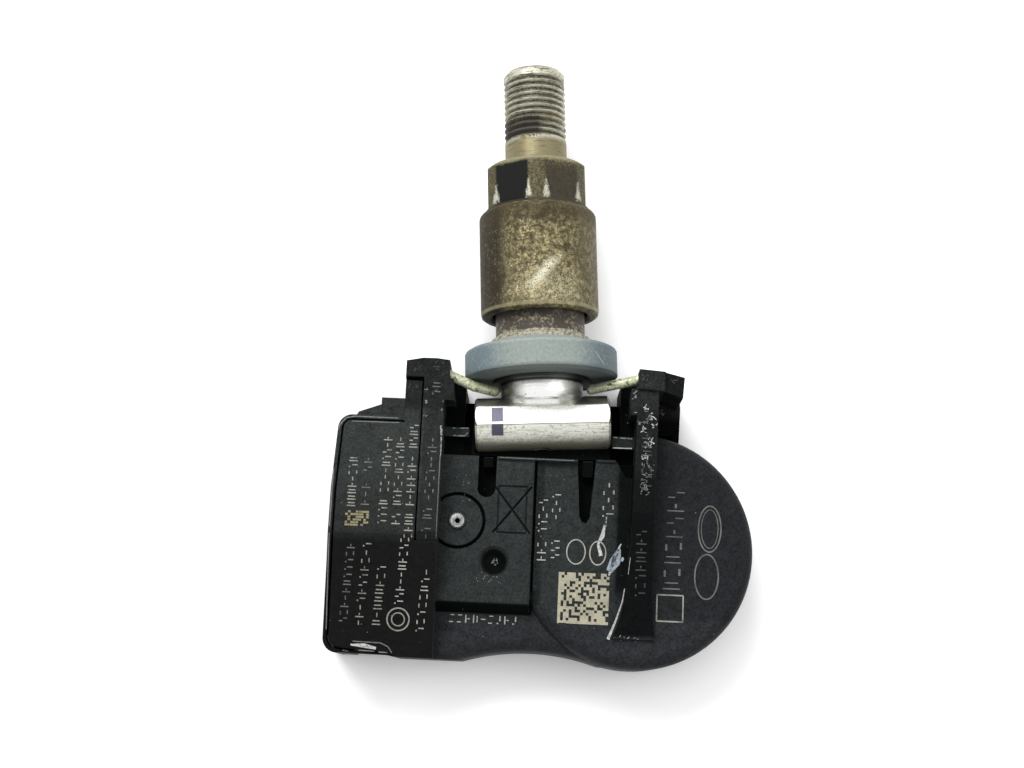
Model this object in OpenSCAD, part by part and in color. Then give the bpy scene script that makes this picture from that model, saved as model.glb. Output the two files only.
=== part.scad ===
// Tyre pressure sensor with a clamp-in valve, all sizes in millimetres.
// The valve axis is Y, the tip points to +Y, the printed face looks to +Z.
// The origin is on the valve axis in the sealing plane of the grommet.

/* [Valve] */
// height of the valve tip above the sealing plane
tip_y = 34.4; // [30:0.1:40]
// radius over the cap thread
thread_r = 3.85; // [3.6:0.01:4.1]
// pitch of the cap thread
thread_pitch = 0.794; // [0.7:0.001:1]
// where the cap thread starts
thread_start_y = 25.2; // [22:0.1:28]
// radius of the lower shaft inside nut and grommet
shaft_r = 4.4; // [4:0.05:4.8]
// where the lower shaft ends
shaft_top_y = 22.05; // [20:0.05:24]
// radius of the neck under the grommet
neck_r = 5.02; // [4.6:0.01:5.4]
// radius of the stem flange that carries the grommet
flange_r = 6; // [5.4:0.05:6.6]
// distance from the sealing plane to the pivot axis
pivot_drop = 10.3; // [9:0.1:12]
// radius of the foot bar
foot_r = 3.25; // [3:0.05:3.6]
// length of the foot bar
foot_len = 16.3; // [14:0.1:18]
// distance of the milled front flat from the bar axis
flat_d = 3.05; // [2.7:0.01:3.2]
// tilt of the milled front flat
flat_tilt = 13; // [5:1:20]
// radius of the air bore
air_bore_r = 1.1; // [0.8:0.05:1.4]

/* [Grommet] */
// radius of the grommet flange
grommet_r = 9.3; // [8.5:0.05:10]
// depth of the grommet flange below the sealing plane
grommet_drop = 5.05; // [4.4:0.05:5.6]
// radius of the sleeve that fills the rim hole
sleeve_r = 5.45; // [5.2:0.01:5.6]
// height of the sleeve above the sealing plane
sleeve_top_y = 5.5; // [4:0.1:7]

/* [Collar nut] */
// lower face of the nut
nut_y = 2.75; // [2:0.01:5]
// outer radius of the collar
collar_r = 7.24; // [6.8:0.02:7.6]
// length of the collar
collar_len = 13.2; // [10:0.1:14]
// length of the hexagon with its neck
hex_len = 5.9; // [5:0.1:8]
// radius over the rounded hexagon corners
hex_corner_r = 6.4; // [6:0.01:6.8]
// width across the hexagon flats
hex_flats = 12; // [11:0.05:12.5]
// turn of the hexagon about the valve axis
hex_turn = -2; // [-30:1:30]

/* [Housing] */
// turn of the housing against the valve in the printed plane
housing_yaw = 3.7; // [0:0.1:6]
// back face of the housing
back_z = -9.4; // [-10:0.1:-8]
// wall thickness
wall = 1.4; // [1:0.1:2]
// radius of the battery dome
dome_r = 14.15; // [13:0.05:15]
// dome centre across the housing
dome_x = 11.65; // [11:0.05:13]
// dome centre along the housing
dome_y = -14.95; // [-16:0.05:-14]
// top face of the dome
dome_z = 1.2; // [0.5:0.1:2]
// rounding of the dome edge
dome_round = 1.6; // [1:0.1:2.4]
// lower end of the housing
low_y = -28.75; // [-30:0.05:-27]
// radius of the hollow waist
waist_r = 27; // [20:0.5:35]
// middle of the hollow waist
waist_x = -0.3; // [-3:0.1:3]
// depth of the waist line
waist_y = -27.45; // [-28:0.05:-26]
// top face of the lower band
band_z = -0.2; // [-1:0.1:1]

/* [Plateau] */
// right edge of the plateau
plateau_x = -0.7; // [-3:0.1:2]
// top face of the plateau
plateau_z = 1.7; // [1:0.1:2.5]
// upper edge of the plateau
plateau_top_y = -4.5; // [-5:0.1:-4]
// lower edge of the plateau
plateau_low_y = -21.9; // [-23:0.1:-20]
// pressure port across the housing
port_x = -9.7; // [-11:0.05:-8]
// pressure port along the housing
port_y = -12.35; // [-14:0.05:-10]
// radius of the ring groove around the port
port_ring_r = 3.2; // [2.5:0.1:4]

/* [Electronics block] */
// left side of the block
block_x = -24.75; // [-26:0.05:-23]
// right side of the block, the seam
seam_x = -11.8; // [-13:0.05:-11]
// upper edge of the block
block_top_y = -0.55; // [-1.5:0.05:0]
// front face of the cover
cover_z = 5; // [4:0.1:6]
// where the front face starts to fall
ramp_y = -14.6; // [-18:0.1:-12]
// fall of the front face at the lower end
ramp_drop = 3.4; // [2:0.1:4.5]
// thickness of the outer wall
rim_t = 0.45; // [0.3:0.05:0.8]
// gap between outer wall and cover
rim_gap = 0.3; // [0.2:0.05:0.5]
// thickness of the cover
cover_t = 1.4; // [1:0.1:2]

/* [Ears and rail] */
// front face of rail and ears
rail_z = 5.5; // [4.5:0.1:6.5]
// inner side of the right rail
rail_x = 11.15; // [10:0.05:12]
// width of the right rail
rail_w = 2.5; // [2:0.05:3]
// where the rail starts to fall
rail_ramp_y = -10.9; // [-14:0.1:-8]
// lower end of the rail
rail_low_y = -25.5; // [-27:0.1:-24]
// outer side of the right ear
ear_x = 16.95; // [16:0.05:18]
// outer side of the left ear
ear_left_x = -16.5; // [-18:0.05:-15]
// top of the ears
ear_top_y = 6.3; // [5.5:0.1:7]

/* [Spring clip] */
// radius of the clip wire
clip_r = 0.6; // [0.5:0.05:0.8]
// depth of the clip bridge behind the pivot
clip_back_z = -8.2; // [-8.4:0.05:-7.6]

/* [Electronics] */
// thickness of the circuit board
board_t = 1; // [0.8:0.1:1.6]
// front face of the circuit board
board_z = -3.6; // [-4.5:0.1:-2.5]
// radius of the coin cell
cell_r = 12.25; // [12:0.05:12.3]
// thickness of the coin cell
cell_t = 5; // [4:0.1:5.2]
// back face of the coin cell
cell_z = -7.4; // [-7.6:0.1:-7]

/* [Hidden] */
$fn = 72;
eps = 0.01;
fit = 0.05;
pivot_y = -pivot_drop;
thread_depth = 0.45;
shank_r = thread_r;
nut_mid_y = nut_y + collar_len;
nut_top_y = nut_mid_y + hex_len;
nut_shoulder_y = nut_y + 6.5;
washer_low_y = nut_shoulder_y - 1.1;
core_room_r = 2.6;
core_room_y = 28.2;
core_well_r = 1.9;
core_well_y = 22;
back_inner_z = back_z + wall;
cover_low_z = cover_z - cover_t;
cell_gap = 0.2;
battery_room_r = cell_r + cell_gap;
room_top_z = -1.5;
room_x0 = block_x + wall + 0.3;
room_y0 = low_y + wall + 1.6;
room_y1 = block_top_y - wall - 0.2;
room_mid_y1 = plateau_top_y - 0.8;
room_mid_x1 = dome_x - battery_room_r - 0.5;
board_x0 = room_x0 + 0.4;
board_x1 = room_mid_x1 - 0.4;
board_y0 = room_y0 + 0.4;
board_y1 = room_y1 - 0.3;
board_mid_y1 = room_mid_y1 - 0.4;
post_r = 1.3;
post_pin_r = 0.75;
strip_x = -14.3;
strip_low_y = -15.2;
strip_gap = 0.2;
chip_half = 2.5;
chip_t = 1.8;
eyelet_r = 1;
eyelet_body_r = 0.75;
ear_inner_left_x = -10.6;
ear_inner_right_x = 10.4;
seat_x = 8.4;
cradle_top_y = 1.9;
cradle_front_z = -0.2;

// Helpers

module in_housing() {
    translate([0, pivot_y, 0])
    rotate([0, 0, -housing_yaw])
    children();
}

module at_pivot() {
    translate([0, pivot_y, 0])
    children();
}

module along_y(r, y0, y1) {
    translate([0, y0, 0])
    rotate([-90, 0, 0])
    cylinder(r = r, h = y1 - y0);
}

module turned_y() {
    rotate([-90, 0, 0])
    rotate_extrude()
    children();
}

module block(x0, x1, y0, y1, z0, z1) {
    translate([x0, y0, z0])
    cube([x1 - x0, y1 - y0, z1 - z0]);
}

module plan(z0, z1) {
    translate([0, 0, z0])
    linear_extrude(height = z1 - z0)
    children();
}

// A side profile drawn as [y, z] points, drawn out from x0 to x1.
module side_profile(x0, x1, points) {
    translate([x0, 0, 0])
    rotate([90, 0, 90])
    linear_extrude(height = x1 - x0)
    polygon(points);
}

module rod(a, b, r) {
    d = b - a;
    len = norm(d);
    translate(a)
    rotate([0, acos(d[2] / len), atan2(d[1], d[0])])
    cylinder(r = r, h = len);
}

function arc(cx, cy, r, a0, a1, n) =
    [for (i = [0 : n]) [cx + r * cos(a0 + (a1 - a0) * i / n), cy + r * sin(a0 + (a1 - a0) * i / n)]];

// Valve body

stem_arc_r = 1.6;
stem_arc_c = neck_r - stem_arc_r;
stem_arc_y = pivot_y + 3.7;
groove_count = floor((tip_y - 0.5 - thread_start_y) / thread_pitch);

function thread_points() =
    [for (i = [0 : groove_count - 1]) each [
        [thread_r, thread_start_y + i * thread_pitch + 0.1],
        [thread_r - thread_depth, thread_start_y + (i + 0.42) * thread_pitch + 0.1],
        [thread_r - thread_depth, thread_start_y + (i + 0.52) * thread_pitch + 0.1],
        [thread_r, thread_start_y + (i + 0.94) * thread_pitch + 0.1]
    ]];

module stem_profile() {
    polygon(concat(
        [[0, stem_arc_y - stem_arc_r]],
        arc(stem_arc_c, stem_arc_y, stem_arc_r, -90, 0, 6),
        [
            [neck_r, -grommet_drop - 0.5],
            [flange_r, -grommet_drop - 0.42],
            [flange_r, -grommet_drop - 0.02],
            [shaft_r, -grommet_drop - 0.02],
            [shaft_r, shaft_top_y - 0.5],
            [shank_r, shaft_top_y]
        ],
        thread_points(),
        [
            [thread_r, tip_y - 0.55],
            [thread_r - 0.5, tip_y],
            [0, tip_y]
        ]
    ));
}

module foot_bar() {
    half = foot_len / 2;
    at_pivot()
    rotate([0, 90, 0])
    rotate_extrude()
    polygon([
        [0, -half], [foot_r - 0.25, -half], [foot_r, -half + 0.25],
        [foot_r, half - 0.25], [foot_r - 0.25, half], [0, half]
    ]);
}

// The milled face runs across the bar, and a narrow tongue of it up the neck.
tongue_half = 2.15;
tongue_top = 2.5;
mill_top = 1.8;

function mill_z(y) = (flat_d - y * sin(flat_tilt)) / cos(flat_tilt);

module foot_mill() {
    at_pivot() {
        side_profile(-foot_len, foot_len, [
            [-foot_len, mill_z(-foot_len)], [mill_top, mill_z(mill_top)],
            [mill_top - 0.35, mill_z(mill_top) + 5], [-foot_len, mill_z(-foot_len) + 5]
        ]);
        side_profile(-tongue_half, tongue_half, [
            [0, mill_z(0)], [tongue_top, mill_z(tongue_top)],
            [tongue_top - 0.55, mill_z(tongue_top) + 5], [0, mill_z(0) + 5]
        ]);
    }
}

module valve_stem() {
    color([0.74, 0.72, 0.64])
    difference() {
        union() {
            turned_y() stem_profile();
            foot_bar();
        }
        foot_mill();
        along_y(air_bore_r, pivot_y - foot_r - 1, core_well_y + 1);
        along_y(core_well_r, core_well_y, core_room_y + 1);
        along_y(core_room_r, core_room_y, tip_y + 1);
    }
}

module grommet() {
    color([0.55, 0.6, 0.6])
    turned_y()
    polygon([
        [shaft_r + fit, -grommet_drop],
        [grommet_r - 0.35, -grommet_drop],
        [grommet_r, -grommet_drop + 0.35],
        [grommet_r, -1.8],
        [grommet_r - 0.12, -1.55],
        [grommet_r - 0.45, -1.35],
        [flange_r + 0.3, -0.62],
        [flange_r, -0.45],
        [flange_r, 0],
        [sleeve_r, 0],
        [sleeve_r, sleeve_top_y - 0.2],
        [sleeve_r - 0.2, sleeve_top_y],
        [shaft_r + fit, sleeve_top_y]
    ]);
}

module nut_outside() {
    hex_r = hex_flats / 2 / cos(30);
    turned_y()
    polygon(concat(
        [[0, nut_y], [collar_r - 0.45, nut_y], [collar_r - 0.1, nut_y + 0.25], [collar_r, nut_y + 0.65]],
        arc(collar_r - 0.75, nut_mid_y - 0.75, 0.75, 0, 80, 5),
        [
            [hex_corner_r + 0.1, nut_mid_y],
            [hex_corner_r + 0.1, nut_mid_y + 0.3],
            [hex_corner_r - 0.2, nut_mid_y + 0.45],
            [0, nut_mid_y + 0.45]
        ]
    ));
    intersection() {
        rotate([0, hex_turn, 0])
        translate([0, nut_mid_y, 0])
        rotate([-90, 0, 0])
        rotate([0, 0, 30])
        cylinder(r = hex_r, h = hex_len, $fn = 6);
        turned_y()
        polygon([
            [0, nut_mid_y], [hex_corner_r, nut_mid_y], [hex_corner_r, nut_top_y - 0.4],
            [hex_corner_r - 0.5, nut_top_y], [0, nut_top_y]
        ]);
    }
}

module collar_nut() {
    color([0.6, 0.55, 0.4])
    difference() {
        nut_outside();
        along_y(shaft_r + fit, nut_y - 1, nut_top_y + 1);
        along_y(sleeve_r + 0.33, nut_y - 1, nut_shoulder_y);
        turned_y()
        polygon([
            [sleeve_r, nut_y - 0.1], [sleeve_r + 0.7, nut_y - 0.1], [sleeve_r + 0.7, nut_y],
            [sleeve_r + 0.33, nut_y + 0.35], [sleeve_r, nut_y + 0.35]
        ]);
    }
}

module nut_washer() {
    color([0.75, 0.73, 0.68])
    difference() {
        along_y(sleeve_r + 0.25, washer_low_y, nut_shoulder_y - fit);
        along_y(shaft_r + 0.1, washer_low_y - 1, nut_shoulder_y + 1);
    }
}

// Valve core

core_top_y = tip_y - 1.4;
core_shelf_y = core_room_y + 1.2;
barrel_low_y = core_shelf_y - 4.2;
barrel_floor_y = barrel_low_y + 0.4;
spring_top_y = core_shelf_y - 0.6;
pin_r = 0.42;

module valve_core_body() {
    color([0.78, 0.62, 0.32])
    difference() {
        union() {
            along_y(core_room_r - fit, core_shelf_y, core_top_y);
            along_y(core_well_r - 0.12, barrel_low_y, core_shelf_y + eps);
        }
        along_y(pin_r + 0.1, barrel_low_y - 1, core_top_y + 1);
        along_y(1.25, barrel_floor_y, spring_top_y + 0.6);
        block(-core_room_r, core_room_r, core_top_y - 1.6, core_top_y + 1, -0.9, 0.9);
    }
}

module valve_core_gasket() {
    color([0.85, 0.2, 0.16])
    difference() {
        along_y(core_room_r - fit, core_room_y, core_shelf_y);
        along_y(core_well_r - 0.12, core_room_y - 1, core_shelf_y + 1);
    }
}

module valve_core_pin() {
    color([0.78, 0.62, 0.32])
    union() {
        along_y(pin_r, barrel_low_y - 1.3, tip_y - 0.4);
        along_y(1.15, spring_top_y, spring_top_y + 0.5);
        along_y(1.5, barrel_low_y - 1.3, barrel_low_y - 0.9);
    }
}

module valve_core_cup() {
    color([0.12, 0.12, 0.12])
    difference() {
        along_y(1.6, barrel_low_y - 0.9, barrel_low_y);
        along_y(pin_r, barrel_low_y - 2, barrel_low_y + 1);
    }
}

module valve_core_spring() {
    coil_r = 0.13;
    ring_n = 7;
    spring_span = spring_top_y - barrel_floor_y;
    color([0.7, 0.7, 0.72])
    union() {
        difference() {
            along_y(1.05, barrel_floor_y, spring_top_y);
            along_y(0.8, barrel_floor_y - 1, spring_top_y + 1);
            for (i = [0 : ring_n - 1])
                along_y(2, barrel_floor_y + spring_span * (i + 0.35) / ring_n,
                    barrel_floor_y + spring_span * (i + 0.75) / ring_n);
        }
        for (a = [0 : 120 : 240])
            rotate([0, a, 0])
            translate([0.92, 0, 0])
            along_y(coil_r, barrel_floor_y, spring_top_y);
    }
}

// Housing outline of the left block, moved inwards by d

function block_pts(d, low, top) = concat(
    [
        [seam_x, low], [-16.3, low], [-17.3, low + 0.2 + d * 0.4],
        [block_x + 1.6 + d, low + 0.25 + d * 0.7]
    ],
    arc(block_x + 1.5, low + 0.25 + 1.6, 1.65 - d, 265, 182, 6),
    [[block_x + d, -18], [block_x + 0.05 + d, -9.5]],
    arc(block_x + 0.45 + 1.7, top - 1.7, 1.7 - d, 176, 92, 7),
    [[-17.1, top - d], [-16.55, top - d], [seam_x, top - d]]
);

// Front face of the block: flat near the valve, falling towards the lower end.
module block_front(x0, x1, z) {
    side_profile(x0, x1, [
        [-40, back_z - 1], [20, back_z - 1], [20, z], [ramp_y, z], [low_y, z - ramp_drop],
        [-40, z - ramp_drop - 2.7]
    ]);
}

module block_shell() {
    intersection() {
        plan(back_z, cover_z + 1) polygon(block_pts(0, low_y, block_top_y));
        block_front(block_x - 2, seam_x + eps, cover_z - 0.45);
    }
}

module cover_pocket(d, floor_z) {
    intersection() {
        union() {
            plan(floor_z - ramp_drop - 1, cover_z + 3) polygon(block_pts(d, low_y + 0.02, block_top_y));
            block(ear_left_x + 0.1, seam_x + 0.01, -3, 4.2 - 1.5 * (d - rim_t),
                floor_z - ramp_drop - 1, cover_z + 3);
        }
        difference() {
            block_front(block_x - 2, seam_x + 1, cover_z + 2);
            block_front(block_x - 3, seam_x + 2, floor_z);
        }
    }
}

module electronics_cover() {
    color([0.13, 0.13, 0.13])
    in_housing()
    difference() {
        intersection() {
            cover_pocket(rim_t + rim_gap, cover_low_z);
            block_front(block_x - 2, seam_x, cover_z);
        }
        block(strip_x - strip_gap, seam_x + 1, strip_low_y - fit, 10, -10, 10);
    }
}

// The raised strip along the seam, running down from the left ear.
module seam_strip() {
    side_profile(strip_x, seam_x, [
        [4, back_z], [4, rail_z - 0.1], [ramp_y + 0.4, rail_z - 0.1], [strip_low_y, cover_z - 0.15],
        [strip_low_y, back_z]
    ]);
}

module dome_profile() {
    square([dome_r - dome_round, dome_z - back_z]);
    square([dome_r, dome_z - back_z - dome_round]);
    translate([dome_r - dome_round, dome_z - back_z - dome_round])
    circle(r = dome_round);
}

module dome() {
    translate([dome_x, dome_y, back_z])
    rotate_extrude()
    dome_profile();
}

// Everything cut away outside the hollow waist, with its rounded edge.
module waist_cutter() {
    round_r = 1.7;
    translate([waist_x, waist_y - waist_r, 0])
    rotate_extrude($fn = 144)
    difference() {
        translate([0, back_z - 1])
        square([waist_r + round_r, dome_z - back_z + 5]);
        translate([waist_r, back_z - 2])
        square([round_r + 1, band_z - round_r - back_z + 2]);
        translate([waist_r + round_r, band_z - round_r])
        circle(r = round_r);
    }
}

module middle() {
    // base slab and lower band
    block(seam_x - 0.6, dome_x, low_y, plateau_top_y, back_z, band_z);
    // plateau with its sloping lower edge
    side_profile(seam_x - 0.6, plateau_x, [
        [plateau_low_y - 1.3, band_z], [plateau_low_y - 1.3, back_z], [plateau_top_y, back_z],
        [plateau_top_y, plateau_z], [plateau_low_y, plateau_z]
    ]);
    // level ground between plateau and rail
    block(plateau_x - eps, dome_x, -20.4, plateau_top_y, back_z, dome_z);
}

module wing() {
    plan(back_z, 1)
    polygon([
        [-16.4, -1], [-16.4, 2.25], [-19.6, 2.25], [-19.6, 1.4], [-22.3, 0.4], [-23.1, -1]
    ]);
}

module left_ear() {
    plan(back_z, rail_z - 0.1)
    polygon([
        [-11.3, 4], [-11.35, ear_top_y + 0.05], [-13.0, ear_top_y + 0.22], [-14.5, ear_top_y + 0.2],
        [ear_left_x, ear_top_y - 0.2], [ear_left_x, 4]
    ]);
    plan(back_z, rail_z - 0.1)
    polygon([
        [strip_x, 1.5], [ear_inner_left_x, 1.5], [ear_inner_left_x - 0.25, 4.1], [strip_x, 4.1]
    ]);
    block(ear_left_x, seam_x, -1, 4.25, back_z, cover_low_z);
    block(ear_left_x, ear_left_x + 0.35, -1, 4.05, back_z, cover_z - 0.45);
    block(seam_x - 0.5, -9.45, plateau_top_y - 0.1, 4.3, back_z, -0.6);
    block(seam_x - 0.5, -10.05, plateau_top_y - 0.1, 5.5, back_z, -0.6);
}

module right_ear() {
    plan(back_z, rail_z + 0.35)
    polygon([[11.1, 3.75], [11.25, 6.15], [14.35, 5.95], [14.35, 3.6]]);
    plan(back_z, rail_z - 0.1)
    polygon([[14.3, 3.6], [14.3, 5.95], [16.65, 5.4], [16.5, 2.9]]);
    block(ear_inner_right_x, rail_x + rail_w, 0.65, 3.8, back_z, rail_z - 0.05);
    difference() {
        plan(back_z, -3)
        polygon([[11, -4], [16.8, -4], [ear_x, 3.2], [16.7, 5.3], [11, 5.8]]);
        block(rail_x + rail_w + 0.3, ear_x - 0.9, -3.2, -0.4, back_z + 1.6, 0);
    }
    block(9.45, 11.4, plateau_top_y - 0.1, 5.3, back_z, -0.6);
}

module right_rail() {
    intersection() {
        plan(back_z, rail_z)
        polygon([
            [rail_x, 4], [rail_x, -2.3], [rail_x - 0.25, rail_ramp_y], [rail_x - 0.48, -18.8],
            [rail_x - 0.8, -21.5], [rail_x - 1.25, -23.6], [rail_x - 2.0, rail_low_y],
            [rail_x + rail_w + 0.55, rail_low_y], [rail_x + rail_w + 0.05, -21],
            [rail_x + rail_w - 0.1, rail_ramp_y], [rail_x + rail_w, 4]
        ]);
        side_profile(0, 20, [
            [5, back_z], [5, rail_z], [rail_ramp_y, rail_z], [rail_low_y - 0.1, dome_z + 0.35],
            [rail_low_y - 0.1, back_z]
        ]);
    }
}

module cradle() {
    block(-seat_x, seat_x, plateau_top_y - 0.1, cradle_top_y, back_z, cradle_front_z);
    block(-seat_x - 1.2, -seat_x + eps, plateau_top_y - 0.1, 2.9, back_z, -4.5);
    block(seat_x - eps, seat_x + 1.2, plateau_top_y - 0.1, 3.3, back_z, -4.5);
    // shelves beside the ends of the foot bar
    block(-seat_x - 3, -seat_x + eps, plateau_top_y - 0.1, -2.2, back_z, -1);
    block(seat_x - eps, seat_x + 3, plateau_top_y - 0.1, -2.9, back_z, -1);
}

module centring_ribs() {
    block(seam_x - 0.5, -8.8, -2.1, -0.95, -0.6, 0.7);
    block(8.45, rail_x + 0.5, -2.8, -1.3, -0.7, 0.8);
}

module fine_ridges() {
    block(-5.2, 4.4, plateau_top_y - 0.3, plateau_top_y + 0.02, dome_z - 1, plateau_z + 0.3);
    block(6.65, 9, plateau_top_y - 0.1, plateau_top_y + 0.2, dome_z - 2, dome_z + 0.2);
    // small ribs standing in the guide slots
    block(-6.9, -5.7, -5.7, plateau_top_y + 0.02, -1, 0.7);
    block(5.1, 6.3, -6.4, plateau_top_y + 0.02, -1, 0.7);
}

module guide_slots() {
    slot_floor = -0.9;
    plan(slot_floor, plateau_z + 2)
    polygon(concat([[-7.45, plateau_top_y + 0.3], [-7.45, -8.3]], arc(-6.4, -8.35, 1.1, 180, 360, 8),
        [[-5.28, plateau_top_y + 0.3]]));
    plan(slot_floor, plateau_z + 2)
    polygon([
        [4.4, plateau_top_y + 0.3], [4.85, -11.2], [5.2, -11.9], [5.7, -12.0], [6.1, -11.3],
        [6.65, plateau_top_y + 0.3]
    ]);
}

sign_x0 = -5.0;
sign_x1 = -1.4;
sign_y0 = -13.7;
sign_y1 = -7.9;
sign_w = 0.24;

module surface_recesses() {
    // ring groove around the pressure port
    translate([port_x, port_y, plateau_z - 0.55])
    difference() {
        cylinder(r = port_ring_r + 0.2, h = 1);
        translate([0, 0, -1])
        cylinder(r = port_ring_r - 0.2, h = 3);
    }
    // round recess of the moulding gate
    translate([-5.1, -17.1, plateau_z - 0.75])
    cylinder(r1 = 0.8, r2 = 1.95, h = 0.76);
    // plain crossed frame
    difference() {
        block(sign_x0, sign_x1, sign_y0, sign_y1, plateau_z - 0.2, plateau_z + 1);
        block(sign_x0 + sign_w, sign_x1 - sign_w, sign_y0 + sign_w, sign_y1 - sign_w,
            plateau_z - 1, plateau_z + 2);
    }
    for (turn = [-1, 1])
        translate([(sign_x0 + sign_x1) / 2, (sign_y0 + sign_y1) / 2, plateau_z - 0.3])
        rotate([0, 0, turn * atan2(sign_x1 - sign_x0 + 1, sign_y1 - sign_y0)])
        block(-sign_w / 2, sign_w / 2, -3.6, 3.6, 0, 1);
    // groove along the right edge of the plateau
    block(plateau_x - 0.02, plateau_x + 0.33, plateau_low_y, plateau_top_y + 1,
        dome_z - 0.6, plateau_z + 1);
    // pocket beside the rail
    plan(-1.6, 4)
    polygon([[9.2, -2.9], [rail_x + 0.02, -2.9], [rail_x - 0.06, -6.4], [10.3, -6.4], [9.2, -4.6]]);
}

module pressure_bore() {
    translate([port_x, port_y, room_top_z - 1])
    cylinder(r = eyelet_body_r + fit, h = 6);
    translate([port_x, port_y, plateau_z - 0.4])
    cylinder(r = eyelet_r + fit, h = 2);
}

// The two narrow windows between outer wall and cover at the lower left corner.
module rim_windows() {
    block(-21.1, -18.8, -28.2, -27.3, back_z - 1, cover_z);
    block(-18.4, -16.7, -28.3, -27.4, back_z - 1, cover_z);
    block(-21.6, -16.4, low_y - 1, -27.1, back_z - 1, -1.2);
}

module rooms() {
    // room behind the cover
    intersection() {
        block(room_x0, seam_x - 1.2, room_y0, room_y1, back_inner_z - eps, cover_z);
        block_front(block_x, seam_x, cover_low_z + eps);
    }
    block(room_x0, seam_x - 1.2, room_y0 + 1.2, room_y1, back_z - 1, back_inner_z + 1);
    // room under the plateau
    block(seam_x - 2, room_mid_x1, room_y0 + 1.2, room_mid_y1, back_z - 1, room_top_z);
    // battery room and the passage to it
    translate([dome_x, dome_y, back_z - 1])
    cylinder(r = battery_room_r, h = cell_z + cell_t + 0.6 - back_z + 1);
    block(room_mid_x1 - 1, dome_x - 8, dome_y - 3, dome_y + 3, back_z - 1, cell_z + cell_t + 0.6);
}

module back_plan(d) {
    polygon([
        [room_x0 - 0.5 + d, room_y0 + 0.7 + d], [room_mid_x1 + 2.5, room_y0 + 0.7 + d],
        [room_mid_x1 + 2.5, room_mid_y1 + 0.5 - d], [seam_x - 0.6, room_mid_y1 + 0.5 - d],
        [seam_x - 0.6, room_y1 + 0.4 - d], [room_x0 - 0.5 + d, room_y1 + 0.4 - d]
    ]);
    translate([dome_x, dome_y])
    circle(r = battery_room_r + 0.5 - d);
}

module back_cover() {
    color([0.12, 0.12, 0.13])
    in_housing()
    union() {
        plan(back_z + 0.05, back_inner_z) back_plan(fit);
        translate([dome_x, dome_y, back_z])
        difference() {
            cylinder(r = 10.5, h = 0.3);
            translate([0, 0, -1])
            cylinder(r = 9.9, h = 3);
        }
        // posts that carry the circuit board
        for (y = [board_y0 + 2, board_y1 - 2])
            translate([board_x0 + 2, y, back_inner_z - eps]) {
                cylinder(r = post_r, h = board_z - board_t - back_inner_z + eps);
                cylinder(r = post_pin_r, h = board_z + 0.4 - back_inner_z);
            }
        translate([seam_x + 4, board_y0 + 3, back_inner_z - eps])
        cylinder(r = post_r, h = board_z - board_t - back_inner_z + eps);
    }
}

// Spring clip, points in the housing frame

function to_housing(p) =
    let (x = p[0], y = p[1] + pivot_drop, c = cos(housing_yaw), s = sin(housing_yaw))
    [c * x - s * y, s * x + c * y, p[2]];

clip_left = [
    to_housing([-5.75, -6.45, 1.4]), to_housing([-8.15, -6.0, 2.6]), to_housing([-11.15, -4.65, 3.4]),
    [-13.15, 5.3, 3.5], [-13.15, 0.9, clip_back_z]
];
clip_right = [
    to_housing([6.0, -6.45, 1.4]), to_housing([8.6, -6.15, 2.4]), to_housing([11.5, -5.8, 3.4]),
    [12.45, 5.15, 3.5], [12.45, 0.9, clip_back_z]
];

module clip_shape(r) {
    for (side = [clip_left, clip_right]) {
        for (i = [0 : 3])
            rod(side[i], side[i + 1], r);
        for (i = [0 : 4])
            translate(side[i])
            sphere(r = r + 0.015);
    }
    rod(clip_left[4], clip_right[4], r);
}

module spring_clip() {
    color([0.78, 0.8, 0.64])
    in_housing()
    clip_shape(clip_r);
}

module clip_channel() {
    clip_shape(clip_r + 0.06);
    // open groove for the bridge across the back
    block(clip_left[4][0] - clip_r, clip_right[4][0] + clip_r, 0.9 - clip_r - 0.06, 0.9 + clip_r + 0.06,
        back_z - 1, clip_back_z);
}

module housing_body() {
    difference() {
        union() {
            difference() {
                union() {
                    middle();
                    difference() {
                        dome();
                        block(-seat_x, rail_x + 0.1, plateau_top_y, 8, cradle_front_z - 0.8, dome_z + 1);
                    }
                }
                difference() {
                    waist_cutter();
                    translate([dome_x, dome_y, back_z - 2])
                    cylinder(r = dome_r + 0.02, h = 20);
                }
            }
            block_shell();
            seam_strip();
            wing();
            left_ear();
            right_ear();
            right_rail();
            cradle();
        }
        difference() {
            cover_pocket(rim_t, cover_low_z);
            seam_strip();
            block(strip_x, seam_x + 1, 1.5, 4.3, back_z, cover_z + 4);
        }
        guide_slots();
        surface_recesses();
        pressure_bore();
        rooms();
        plan(back_z - 1, back_inner_z + fit) back_plan(0);
        clip_channel();
        rim_windows();
    }
    fine_ridges();
}

module housing() {
    color([0.15, 0.15, 0.16])
    difference() {
        union() {
            difference() {
                in_housing()
                housing_body();
                // seat of the foot bar
                at_pivot()
                rotate([0, 90, 0])
                translate([0, 0, -foot_len / 2 - 0.15])
                cylinder(r = foot_r + 0.06, h = foot_len + 0.3);
                // room for the neck to swing back
                at_pivot()
                block(-neck_r - 0.35, neck_r + 0.35, 0.35, 8, -6.4, 4);
            }
            in_housing()
            centring_ribs();
        }
    }
}

// Electronics

module circuit_board() {
    color([0.1, 0.35, 0.2])
    in_housing()
    difference() {
        union() {
            block(board_x0, seam_x - 1.6, board_y0, board_y1, board_z - board_t, board_z);
            block(seam_x - 2, board_x1, board_y0 + 0.8, board_mid_y1, board_z - board_t, board_z);
        }
        translate([board_x0 + 2, board_y0 + 2, board_z - 3])
        cylinder(r = 0.8, h = 5);
        translate([board_x0 + 2, board_y1 - 2, board_z - 3])
        cylinder(r = 0.8, h = 5);
    }
}

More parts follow.
